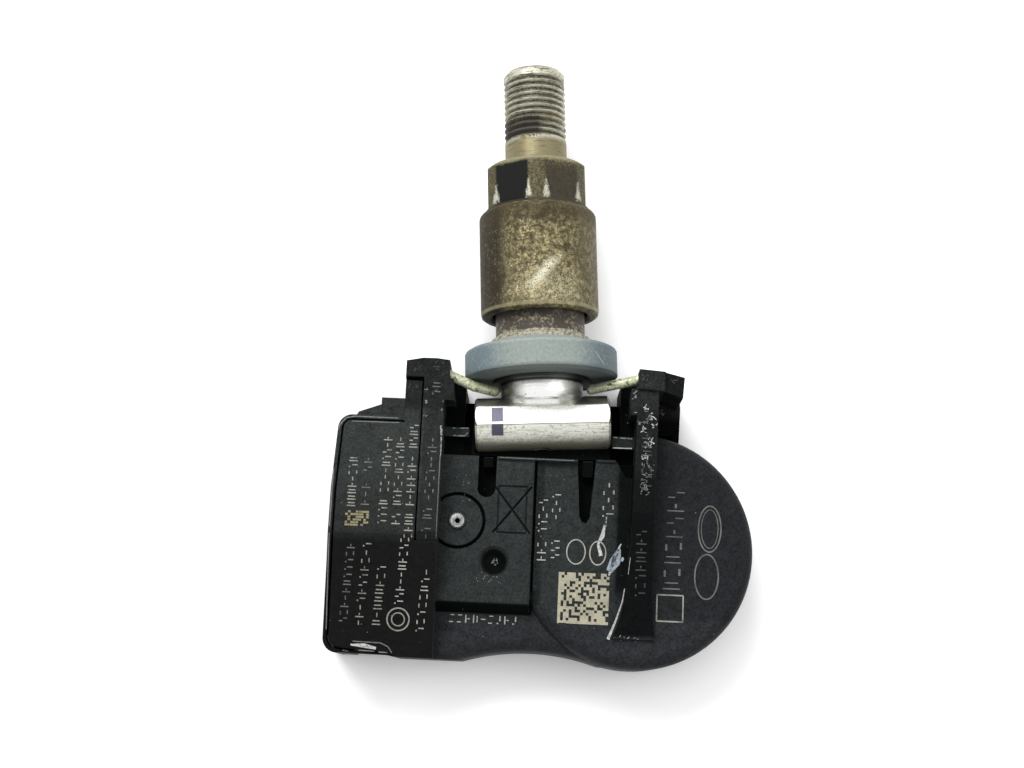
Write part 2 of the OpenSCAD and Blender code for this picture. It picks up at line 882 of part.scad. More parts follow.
module sensor_chip() {
    color([0.1, 0.1, 0.1])
    in_housing()
    difference() {
        block(port_x - chip_half, port_x + chip_half, port_y - chip_half, port_y + chip_half,
            board_z, board_z + chip_t);
        translate([port_x, port_y, board_z + chip_t - 0.5])
        cylinder(r = 0.5, h = 2);
    }
}

module port_seal() {
    color([0.75, 0.3, 0.2])
    in_housing()
    translate([port_x, port_y, board_z + chip_t])
    difference() {
        cylinder(r = 1.9, h = room_top_z - board_z - chip_t);
        translate([0, 0, -1])
        cylinder(r = 0.9, h = 5);
    }
}

module port_eyelet() {
    color([0.8, 0.8, 0.8])
    in_housing()
    translate([port_x, port_y, 0])
    difference() {
        union() {
            translate([0, 0, room_top_z])
            cylinder(r = eyelet_body_r, h = plateau_z - room_top_z);
            translate([0, 0, plateau_z - 0.38])
            cylinder(r = eyelet_r, h = 0.6);
        }
        translate([0, 0, room_top_z - 1])
        cylinder(r = 0.28, h = 8);
        translate([0, 0, plateau_z - 0.4])
        cylinder(r1 = 0.28, r2 = 0.75, h = 0.63);
    }
}

coil_x = board_x0 + 5.3;
coil_y = board_y1 - 4.95;
crystal_y = coil_y - 11;
capacitor_y = coil_y - 5.1;
antenna_y0 = board_y0 + 2;
antenna_y1 = board_y1 - 2;
antenna_w = 1.5;

module lf_coil_core() {
    color([0.25, 0.25, 0.27])
    in_housing()
    translate([coil_x, coil_y, board_z])
    union() {
        block(-3.7, -2.7, -1.6, 1.6, 0, 3);
        block(2.7, 3.7, -1.6, 1.6, 0, 3);
        block(-2.8, 2.8, -0.8, 0.8, 0.7, 2.3);
    }
}

module lf_coil_winding() {
    color([0.72, 0.42, 0.2])
    in_housing()
    translate([coil_x, coil_y, board_z])
    difference() {
        block(-2.65, 2.65, -1.45, 1.45, 0.1, 2.9);
        block(-4, 4, -0.82, 0.82, 0.68, 2.32);
    }
}

module crystal() {
    color([0.8, 0.8, 0.78])
    in_housing()
    translate([coil_x - 1, crystal_y, board_z])
    union() {
        block(-2.5, 2.5, -1.6, 1.6, 0, 0.3);
        block(-2.3, 2.3, -1.4, 1.4, 0.3, 1.3);
    }
}

module capacitors() {
    color([0.62, 0.5, 0.36])
    in_housing()
    for (i = [0 : 4])
        translate([coil_x - 3.2 + i * 1.5, capacitor_y, board_z])
        block(0, 0.9, 0, 1.6, 0, 0.8);
}

module antenna_loop() {
    loop_top = board_z + 4.2;
    color([0.78, 0.6, 0.36])
    in_housing()
    translate([board_x0 + 0.6, 0, 0])
    union() {
        block(0, 0.4, antenna_y0, antenna_y0 + antenna_w, board_z, loop_top);
        block(0, 0.4, antenna_y0, antenna_y1, loop_top - antenna_w, loop_top);
        block(0, 0.4, antenna_y1 - antenna_w, antenna_y1, board_z, loop_top);
    }
}

module coin_cell() {
    color([0.8, 0.8, 0.82])
    in_housing()
    translate([dome_x, dome_y, cell_z])
    rotate_extrude()
    polygon([
        [0, 0], [cell_r - 1.5, 0], [cell_r - 1.3, 0.45], [cell_r - 0.3, 0.45], [cell_r, 0.8],
        [cell_r, cell_t - 0.4], [cell_r - 0.4, cell_t], [0, cell_t]
    ]);
}

tab_w = 3;
tab_t = 0.3;
tab_foot_x = board_x1 - 1.6;

module battery_tab_plus() {
    cell_top = cell_z + cell_t;
    color([0.75, 0.75, 0.75])
    in_housing()
    union() {
        block(tab_foot_x + 0.8, dome_x - 6, dome_y - tab_w / 2, dome_y + tab_w / 2,
            cell_top, cell_top + tab_t);
        block(tab_foot_x + 0.8, tab_foot_x + 0.8 + tab_t, dome_y - tab_w / 2, dome_y + tab_w / 2,
            board_z, cell_top + tab_t);
        block(tab_foot_x - 0.6, tab_foot_x + 0.8 + eps, dome_y - tab_w / 2, dome_y + tab_w / 2,
            board_z, board_z + tab_t);
    }
}

module battery_tab_minus() {
    low = board_z - board_t;
    color([0.75, 0.75, 0.75])
    in_housing()
    union() {
        block(tab_foot_x + 0.8, dome_x - 6, dome_y - tab_w / 2, dome_y + tab_w / 2,
            cell_z - tab_t, cell_z);
        block(tab_foot_x + 0.8, tab_foot_x + 0.8 + tab_t, dome_y - tab_w / 2, dome_y + tab_w / 2,
            cell_z - tab_t, low);
        block(tab_foot_x - 0.6, tab_foot_x + 0.8 + tab_t, dome_y - tab_w / 2, dome_y + tab_w / 2,
            low - tab_t, low);
    }
}

housing();
electronics_cover();
back_cover();
circuit_board();
sensor_chip();
port_eyelet();
port_seal();
lf_coil_core();
lf_coil_winding();
crystal();
capacitors();
antenna_loop();
coin_cell();
battery_tab_plus();
battery_tab_minus();
spring_clip();
valve_stem();
grommet();
collar_nut();
nut_washer();
valve_core_body();
valve_core_gasket();
valve_core_pin();
valve_core_cup();
valve_core_spring();
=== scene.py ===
import math
import random

import bmesh
import bpy
from mathutils import Matrix, Vector
from mathutils.bvhtree import BVHTree


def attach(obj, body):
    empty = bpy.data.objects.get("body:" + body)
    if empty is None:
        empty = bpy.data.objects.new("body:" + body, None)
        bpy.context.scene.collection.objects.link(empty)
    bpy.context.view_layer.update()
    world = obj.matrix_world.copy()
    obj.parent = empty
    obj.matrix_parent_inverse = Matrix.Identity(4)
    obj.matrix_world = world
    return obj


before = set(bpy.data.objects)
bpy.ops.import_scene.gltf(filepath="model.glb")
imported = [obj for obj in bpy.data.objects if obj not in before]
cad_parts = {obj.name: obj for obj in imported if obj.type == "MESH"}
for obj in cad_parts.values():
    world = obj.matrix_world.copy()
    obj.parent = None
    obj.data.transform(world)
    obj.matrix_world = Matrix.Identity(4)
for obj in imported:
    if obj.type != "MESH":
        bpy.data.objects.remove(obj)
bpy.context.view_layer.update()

scene = bpy.context.scene
MM = 0.001

# Places in the frame, in millimetres
PIVOT_Y = -10.3
HOUSING_YAW = math.radians(-3.7)
RAMP_Y = -14.6
SEAM_X = -11.8
PLATEAU_X = -0.7
PLATEAU_TOP_Y = -4.5
PLATEAU_LOW_Y = -21.9
PORT_X = -9.7
PORT_Y = -12.35
RAIL_X = 11.15
BACK_Z = -9.4
FLOOR_GAP = 0.02

# Marks: width of a printed stroke, and how far a mark lies above the surface
STROKE = 0.14
LIFT = 0.012

# Camera: place in millimetres, its two directions, and the lens
CAMERA_PLACE = (-3.607, -42.456, 200.529)
CAMERA_RIGHT = (0.99978, -0.0206, -0.0038)
CAMERA_BACK = (0.0, -0.1822, 0.9833)
CAMERA_LENS = 58.71

# Floor: half its width in metres, its colour and its glow; the glow fades where a part is
# nearer than the reach in millimetres, between the two shares of open sky
FLOOR_SIZE = 2.5
FLOOR_COLOR = (0.80, 0.80, 0.805, 1.0)
FLOOR_GLOW = 0.50
COVER_REACH = 9.0
COVERED = 0.15
OPEN = 0.85

# Light: the sky's lowest and highest level, the direction share where each begins, and the
# lamps' power in watts
SKY_LOW = 0.22
SKY_HIGH = 0.75
SKY_TURN = 0.55
KEY_POWER = 3.2
FILL_POWER = 1.0


def row_point(x, y, z):
    """A point of the housing's own frame as a point of the row frame, both in millimetres."""
    c, s = math.cos(HOUSING_YAW), math.sin(HOUSING_YAW)
    return Vector((x * c - y * s, PIVOT_Y + x * s + y * c, z))


# Camera, as the photograph was taken

camera_data = bpy.data.cameras.new("camera")
camera = bpy.data.objects.new("camera", camera_data)
scene.collection.objects.link(camera)
scene.camera = camera
camera_data.sensor_width = 36.0
camera_data.sensor_fit = "HORIZONTAL"
camera_data.lens = CAMERA_LENS
camera_data.clip_start = 0.005
camera_data.clip_end = 20.0
cam_right = Vector(CAMERA_RIGHT)
cam_back = Vector(CAMERA_BACK).normalized()
cam_up = cam_back.cross(cam_right).normalized()
cam_right = cam_up.cross(cam_back).normalized()
cam_turn = Matrix((cam_right, cam_up, cam_back)).transposed().to_4x4()
camera.matrix_world = Matrix.Translation(Vector(CAMERA_PLACE) * MM) @ cam_turn


# Node helpers


class Surface:
    """A material built from nodes, with every length in millimetres."""

    def __init__(self, name):
        self.material = bpy.data.materials.new(name)
        self.material.use_nodes = True
        self.tree = self.material.node_tree
        self.tree.nodes.clear()
        self.out = self.tree.nodes.new("ShaderNodeOutputMaterial")
        self.shader = self.tree.nodes.new("ShaderNodeBsdfPrincipled")
        self.tree.links.new(self.shader.outputs[0], self.out.inputs[0])
        coord = self.tree.nodes.new("ShaderNodeTexCoord")
        self.place = self.vector("SCALE", coord.outputs["Object"], scale=1000.0)
        self.x, self.y, self.z = self.split(self.place)

    def put(self, socket, value):
        if isinstance(value, bpy.types.NodeSocket):
            self.tree.links.new(value, socket)
        elif isinstance(value, (tuple, list)) and socket.type == "RGBA":
            socket.default_value = (*value[:3], 1.0)
        else:
            socket.default_value = value

    def set(self, name, value):
        self.put(self.shader.inputs[name], value)

    def math(self, kind, a, b=0.0, c=0.0, clamp=False):
        n = self.tree.nodes.new("ShaderNodeMath")
        n.operation = kind
        n.use_clamp = clamp
        self.put(n.inputs[0], a)
        self.put(n.inputs[1], b)
        self.put(n.inputs[2], c)
        return n.outputs[0]

    def vector(self, kind, a, b=(0, 0, 0), scale=1.0):
        n = self.tree.nodes.new("ShaderNodeVectorMath")
        n.operation = kind
        self.put(n.inputs[0], a)
        self.put(n.inputs[1], b)
        if kind == "SCALE":
            n.inputs["Scale"].default_value = scale
        return n.outputs["Value"] if kind in ("LENGTH", "DOT_PRODUCT", "DISTANCE") else n.outputs[0]

    def split(self, v):
        n = self.tree.nodes.new("ShaderNodeSeparateXYZ")
        self.put(n.inputs[0], v)
        return n.outputs[0], n.outputs[1], n.outputs[2]

    def join(self, x, y, z):
        n = self.tree.nodes.new("ShaderNodeCombineXYZ")
        self.put(n.inputs[0], x)
        self.put(n.inputs[1], y)
        self.put(n.inputs[2], z)
        return n.outputs[0]

    def noise(self, v, scale, detail=3.0, rough=0.5, bend=0.0):
        n = self.tree.nodes.new("ShaderNodeTexNoise")
        self.put(n.inputs["Vector"], v)
        n.inputs["Scale"].default_value = scale
        n.inputs["Detail"].default_value = detail
        n.inputs["Roughness"].default_value = rough
        n.inputs["Distortion"].default_value = bend
        return n.outputs[0]

    def cells(self, v, scale, feature="F1", random_amount=1.0, out="Distance"):
        n = self.tree.nodes.new("ShaderNodeTexVoronoi")
        n.feature = feature
        self.put(n.inputs["Vector"], v)
        n.inputs["Scale"].default_value = scale
        n.inputs["Randomness"].default_value = random_amount
        return n.outputs[out]

    def step(self, v, low, high, start=0.0, end=1.0, smooth=True):
        """0 below low and 1 above high, or the other way with low over high."""
        n = self.tree.nodes.new("ShaderNodeMapRange")
        n.interpolation_type = "SMOOTHSTEP" if smooth else "LINEAR"
        self.put(n.inputs["Value"], v)
        if low > high:
            low, high, start, end = high, low, end, start
        n.inputs["From Min"].default_value = low
        n.inputs["From Max"].default_value = high
        n.inputs["To Min"].default_value = start
        n.inputs["To Max"].default_value = end
        return n.outputs[0]

    def band(self, v, low, high, soft):
        up = self.step(v, low - soft, low + soft)
        down = self.step(v, high + soft, high - soft)
        return self.math("MULTIPLY", up, down)

    def both(self, *masks):
        made = masks[0]
        for m in masks[1:]:
            made = self.math("MULTIPLY", made, m)
        return made

    def mix(self, share, a, b, kind="MIX"):
        n = self.tree.nodes.new("ShaderNodeMix")
        n.data_type = "RGBA"
        n.blend_type = kind
        self.put(n.inputs[0], share)
        self.put(n.inputs[6], a)
        self.put(n.inputs[7], b)
        return n.outputs[2]

    def tint(self, color, mask, amount, tone):
        """The colour with the tone laid over it where the mask is, as strong as the amount."""
        return self.mix(self.math("MULTIPLY", mask, amount), color, tone)

    def wobble(self, v, noise, amount):
        """A value moved up and down by noise, half the amount each way."""
        swing = self.math("MULTIPLY", self.math("SUBTRACT", noise, 0.5), amount)
        return self.math("ADD", v, swing)

    def weigh(self, a, share_a, b, share_b):
        return self.math(
            "ADD", self.math("MULTIPLY", a, share_a), self.math("MULTIPLY", b, share_b)
        )

    def blend(self, share, a, b):
        n = self.tree.nodes.new("ShaderNodeMix")
        n.data_type = "FLOAT"
        self.put(n.inputs[0], share)
        self.put(n.inputs[2], a)
        self.put(n.inputs[3], b)
        return n.outputs[0]

    def turn(self, v, degrees, axis="Z"):
        n = self.tree.nodes.new("ShaderNodeVectorRotate")
        n.rotation_type = axis + "_AXIS"
        self.put(n.inputs["Vector"], v)
        n.inputs["Angle"].default_value = math.radians(degrees)
        return n.outputs[0]

    def housing_place(self):
        moved = self.vector("SUBTRACT", self.place, (0.0, PIVOT_Y, 0.0))
        return self.turn(moved, -math.degrees(HOUSING_YAW))

    def rounded(self, radius):
        """The normal as it would be with sharp edges rounded by the radius."""
        n = self.tree.nodes.new("ShaderNodeBevel")
        n.samples = 4
        n.inputs["Radius"].default_value = radius * MM
        return n.outputs[0]

    def edge(self, soft):
        """1 on sharp edges, where the rounded normal leaves the true one."""
        g = self.tree.nodes.new("ShaderNodeNewGeometry")
        same = self.vector("DOT_PRODUCT", soft, g.outputs["Normal"])
        return self.step(same, 0.985, 0.75)

    def bump(self, height, depth, strength=1.0, normal=None):
        n = self.tree.nodes.new("ShaderNodeBump")
        n.inputs["Strength"].default_value = strength
        n.inputs["Distance"].default_value = depth * MM
        self.put(n.inputs["Height"], height)
        if normal is not None:
            self.put(n.inputs["Normal"], normal)
        return n.outputs[0]


def plain(
    name, color, rough, metal=0.0, specular=0.5, grain=2.0, depth=0.01, vary=0.25, stretch=(1, 1, 1)
):
    """A material with a little variation of colour, roughness and height at the grain's scale."""
    s = Surface(name)
    v = s.vector("MULTIPLY", s.place, stretch)
    n = s.noise(v, grain, 4, 0.6)
    big = s.noise(s.place, 0.25, 3, 0.6)
    dark = tuple(c * (1 - vary) for c in color)
    light = tuple(min(1, c * (1 + vary)) for c in color)
    s.set("Base Color", s.mix(s.blend(0.5, n, big), dark, light))
    s.set("Roughness", s.step(n, 0.3, 0.7, rough - 0.06, rough + 0.08, False))
    s.set("Metallic", metal)
    s.set("Specular IOR Level", specular)
    s.set("Normal", s.bump(n, depth))
    return s


# Housing plastic


def housing_plastic(name):
    s = Surface(name)
    place = s.housing_place()
    x, y, z = s.split(place)
    grain = s.noise(place, 3.6, 4, 0.7)
    fine = s.noise(place, 9.0, 2, 0.6)
    cloud = s.noise(place, 0.28, 4, 0.6)
    patch = s.noise(place, 0.9, 4, 0.65)
    middle = (0.0170, 0.0208, 0.0204)
    dome = (0.0105, 0.0114, 0.0132)
    is_middle = s.step(x, SEAM_X - 0.1, SEAM_X + 0.1)
    # the block: a painted pale grey sheen near the valve, and painted shade that turns the falling
    # lower part black
    block = s.mix(
        s.step(y, RAMP_Y - 1.2, RAMP_Y + 0.6), (0.0035, 0.0035, 0.0035), (0.0150, 0.0170, 0.0162)
    )
    block_sheen = s.both(s.step(y, -12.0, -6.5), s.step(cloud, 0.25, 0.7, 0.65, 1.0))
    block = s.mix(block_sheen, block, (0.0235, 0.0275, 0.0262))
    color = s.mix(is_middle, block, middle)
    color = s.mix(
        s.both(s.step(y, -9.0, -5.0), s.step(x, 2.0, 0.0), is_middle), color,
        (0.0205, 0.0250, 0.0245)
    )
    color = s.mix(s.step(x, 8.0, 14.0), color, dome)
    color = s.mix(
        s.both(s.step(y, PLATEAU_LOW_Y - 0.6, PLATEAU_LOW_Y - 1.6), is_middle), color,
        (0.0160, 0.0176, 0.0198)
    )
    # rail and ears
    ridge = s.both(s.step(z, 1.55, 1.75), s.step(x, 8.0, 9.0))
    # painted shade: the rail grows darker down its falling lower part
    rail = s.mix(s.step(y, -8.0, -5.0), (0.0028, 0.0032, 0.0034), (0.0090, 0.0100, 0.0100))
    rail = s.mix(s.step(y, 0.0, 2.5), rail, (0.0150, 0.0168, 0.0166))
    rail = s.mix(s.step(x, 14.1, 14.5), rail, (0.0055, 0.0062, 0.0060))
    color = s.mix(ridge, color, rail)
    ear = s.both(s.step(y, -0.5, 1.0), s.step(x, -9.0, -10.0), s.step(z, 2.0, 3.0))
    color = s.mix(ear, color, (0.0108, 0.0124, 0.0120))
    strip = s.both(
        s.band(x, -14.05, -11.85, 0.05), s.step(y, 0.2, -0.2), s.step(y, RAMP_Y - 0.6, RAMP_Y)
    )
    color = s.tint(color, strip, 0.6, (0.0090, 0.0105, 0.0100))
    # mottling
    swing = s.weigh(grain, 0.75, patch, 0.5)
    level = s.step(swing, 0.38, 0.86, 0.25, 2.1, False)
    color = s.mix(1.0, color, s.join(level, level, level), "MULTIPLY")
    # painted shade: grooves, slots, the plateau's sloping lower edge and the deep places around the
    # valve foot are darkened, and so are bands beside the rail and along the plateau's right edge
    open_y = s.step(y, PLATEAU_TOP_Y - 0.15, PLATEAU_TOP_Y + 0.1)
    deep_shade = s.both(
        open_y, s.step(z, 0.45, 0.2), s.step(y, 6.0, 5.5), s.band(x, -12.0, RAIL_X + 0.1, 0.2)
    )
    right_deep_shade = s.both(
        s.step(x, 10.9, 11.1), s.step(y, -5.0, -4.0), s.step(y, 3.0, 1.0), s.step(z, 0.4, -0.2)
    )
    plateau = s.both(
        s.band(x, SEAM_X, PLATEAU_X + 0.02, 0.02), s.band(y, PLATEAU_LOW_Y, PLATEAU_TOP_Y, 0.1)
    )
    groove = s.both(plateau, s.step(z, 1.62, 1.3))
    ground = s.both(s.band(x, PLATEAU_X + 0.02, RAIL_X, 0.02), s.band(y, -20.4, PLATEAU_TOP_Y, 0.1))
    slot_shade = s.both(ground, s.step(z, 1.15, 0.85))
    slope_shade = s.both(
        s.band(x, SEAM_X, PLATEAU_X + 0.3, 0.1),
        s.band(y, PLATEAU_LOW_Y - 1.25, PLATEAU_LOW_Y - 0.1, 0.1)
    )
    shade = s.both(
        s.band(x, RAIL_X - 1.75, RAIL_X + 0.2, 0.25), s.step(y, -4.5, -6.0),
        s.step(y, -22.0, -19.0), s.step(z, 2.0, 1.4)
    )
    edge_shade = s.both(
        s.band(x, PLATEAU_X - 0.1, PLATEAU_X + 1.3, 0.35),
        s.band(y, PLATEAU_LOW_Y, PLATEAU_TOP_Y, 0.4)
    )
    dark = deep_shade
    for mask in (
        right_deep_shade, groove, slot_shade, slope_shade, s.math("MULTIPLY", shade, 0.85),
        s.math("MULTIPLY", edge_shade, 0.45)
    ):
        dark = s.math("MAXIMUM", dark, mask)
    color = s.tint(color, dark, 0.93, (0.0012, 0.0014, 0.0014))
    # rubbed edges
    soft = s.rounded(0.14)
    patchy = s.step(s.noise(place, 0.8, 3, 0.7), 0.40, 0.62)
    rub = s.both(s.edge(soft), patchy, s.step(grain, 0.3, 0.6))
    color = s.tint(color, rub, 0.5, (0.085, 0.085, 0.082))
    # dust specks
    dust = s.step(s.cells(place, 1.15), 0.075, 0.04)
    dust = s.both(dust, s.step(s.noise(place, 0.55, 2, 0.5), 0.54, 0.60))
    color = s.mix(dust, color, (0.26, 0.26, 0.25))
    s.set("Base Color", color)
    rough = s.blend(cloud, 0.42, 0.62)
    rough = s.blend(dust, rough, 0.8)
    s.set("Roughness", rough)
    gloss = s.blend(s.math("MAXIMUM", ridge, ear), 0.085, 0.045)
    s.set("Specular IOR Level", s.blend(dark, gloss, 0.02))
    height = s.weigh(grain, 0.7, fine, 0.35)
    s.set("Normal", s.bump(height, 0.05, 0.7, soft))
    return s


# Valve alloy


def valve_metal():
    s = Surface("valve_alloy")
    x, y, z = s.x, s.y, s.z
    flat = s.join(x, 0.0, z)
    radius = s.vector("LENGTH", flat)
    speck = s.noise(s.place, 3.2, 5, 0.7)
    cloud = s.noise(s.place, 0.45, 4, 0.6)
    pits = s.step(s.cells(s.place, 2.1), 0.16, 0.08)
    lines = s.noise(s.vector("MULTIPLY", s.place, (0.35, 9.0, 0.35)), 1.0, 3, 0.6)
    neck = (0.62, 0.63, 0.59)
    shank = (0.215, 0.190, 0.105)
    thread = (0.56, 0.555, 0.45)
    color = s.mix(s.step(y, 2.0, 8.0), neck, shank)
    color = s.mix(s.step(y, 24.6, 25.4), color, thread)
    color = s.tint(color, s.step(speck, 0.5, 0.7), 0.5, (0.20, 0.18, 0.11))
    # neck: painted shade under the grommet and at both sides, a painted highlight in the middle
    on_neck = s.both(s.step(y, -8.6, -8.2), s.step(y, 0.0, -0.5), s.step(z, 0.5, 1.5))
    neck_side_shade = s.math("MAXIMUM", s.step(x, -3.1, -4.0), s.step(x, 3.3, 4.3))
    color = s.tint(color, s.both(on_neck, neck_side_shade), 0.6, (0.12, 0.125, 0.108))
    bright = s.both(on_neck, s.band(x, -2.4, 2.2, 0.7), s.band(y, -8.6, -6.1, 0.12))
    color = s.mix(bright, color, (0.97, 0.975, 0.95))
    # painted shade on the band just under the grommet
    flange_shade = s.band(y, -5.75, -5.0, 0.12)
    color = s.tint(color, flange_shade, 0.93, (0.018, 0.018, 0.017))
    dot = s.step(s.vector("DISTANCE", s.place, (-2.1, -7.45, 4.55)), 0.28, 0.16)
    color = s.mix(dot, color, (0.03, 0.03, 0.028))
    # painted shade: the thread's grooves are darkened, unevenly
    groove = s.both(s.step(radius, 3.78, 3.5), s.band(y, 25.2, 34.2, 0.1))
    groove = s.math("MULTIPLY", groove, s.step(speck, 0.30, 0.62, 0.45, 0.92))
    color = s.mix(groove, color, (0.040, 0.036, 0.026))
    stain = s.both(s.step(y, 25.0, 25.6), s.step(s.noise(s.place, 1.3, 4, 0.7), 0.54, 0.66))
    color = s.tint(color, stain, 0.7, (0.13, 0.115, 0.075))
    cracks = s.noise(s.vector("MULTIPLY", s.place, (0.45, 6.5, 0.45)), 1.0, 4, 0.75, 0.3)
    cracked = s.both(
        s.step(y, 22.0, 24.0, 0.35, 1.0), s.step(y, 10.0, 12.0), s.step(cracks, 0.54, 0.60)
    )
    color = s.tint(color, cracked, 0.85, (0.070, 0.057, 0.034))
    # grime ring at the end of the thread, left and middle
    grime_place = s.wobble(y, speck, 2.6)
    grime = s.both(
        s.band(grime_place, 25.15, 27.9, 0.25), s.step(x, 1.3, 0.1), s.step(z, -1.5, 0.5)
    )
    color = s.tint(color, grime, 0.92, (0.038, 0.030, 0.024))
    rust = s.both(s.step(y, 15, 20), s.step(cloud, 0.52, 0.68))
    color = s.tint(color, rust, 0.55, (0.22, 0.18, 0.085))
    # stained lower side of the foot bar, with painted shade making it darker towards its bottom
    foot = s.step(y, -6.9, -7.1)
    lower = s.both(foot, s.step(y, -10.72, -10.84))
    color = s.mix(lower, color, (0.80, 0.80, 0.72))
    # painted shade: darker towards the bottom of the foot bar
    low = s.both(lower, s.step(s.wobble(y, speck, 1.6), -11.9, -13.3))
    color = s.tint(color, low, 0.85, (0.20, 0.18, 0.125))
    streak = s.both(lower, s.step(lines, 0.50, 0.64))
    color = s.tint(color, streak, 0.55, (0.22, 0.20, 0.13))
    rim = s.both(foot, s.band(y, -10.84, -10.74, 0.04))
    color = s.tint(color, rim, 0.7, (0.13, 0.12, 0.09))
    dots = s.both(pits, s.step(s.noise(s.place, 0.8, 2, 0.5), 0.55, 0.6))
    color = s.tint(color, dots, 0.6, (0.06, 0.055, 0.045))
    freckles = s.both(lower, s.step(s.noise(s.place, 3.0, 4, 0.7), 0.55, 0.62))
    color = s.tint(color, freckles, 0.6, (0.24, 0.22, 0.15))
    # marker ink across the milled flat
    ink = s.both(
        s.band(x, -6.15, -4.75, 0.06), s.band(y, -12.05, -8.65, 0.06), s.step(z, 1.8, 2.0), foot
    )
    split = s.band(y, -10.72, -10.42, 0.05)
    ink_color = s.mix(s.step(y, -10.5, -10.6), (0.085, 0.080, 0.135), (0.040, 0.040, 0.070))
    ink_share = s.math("MULTIPLY", ink, s.blend(split, 0.97, 0.25))
    ink_share = s.math("MULTIPLY", ink_share, s.step(speck, 0.15, 0.35, 0.75, 1.0))
    color = s.mix(ink_share, color, ink_color)
    s.set("Base Color", color)
    tarnish = s.step(y, 6.0, 19.0)
    metal = s.blend(tarnish, 0.92, 0.72)
    metal = s.blend(s.math("MAXIMUM", ink_share, grime), metal, 0.1)
    metal = s.blend(lower, metal, 0.25)
    s.set("Metallic", metal)
    rough = s.blend(speck, 0.30, 0.46)
    rough = s.blend(tarnish, rough, s.blend(speck, 0.36, 0.6))
    rough = s.blend(grime, rough, 0.75)
    rough = s.blend(bright, rough, 0.22)
    s.set("Roughness", rough)
    soft = s.rounded(0.08)
    height = s.weigh(lines, 0.5, speck, 0.6)
    s.set("Normal", s.bump(height, 0.03, 0.6, soft))
    return s


# Collar nut: brown gold finish, speckled and dirty


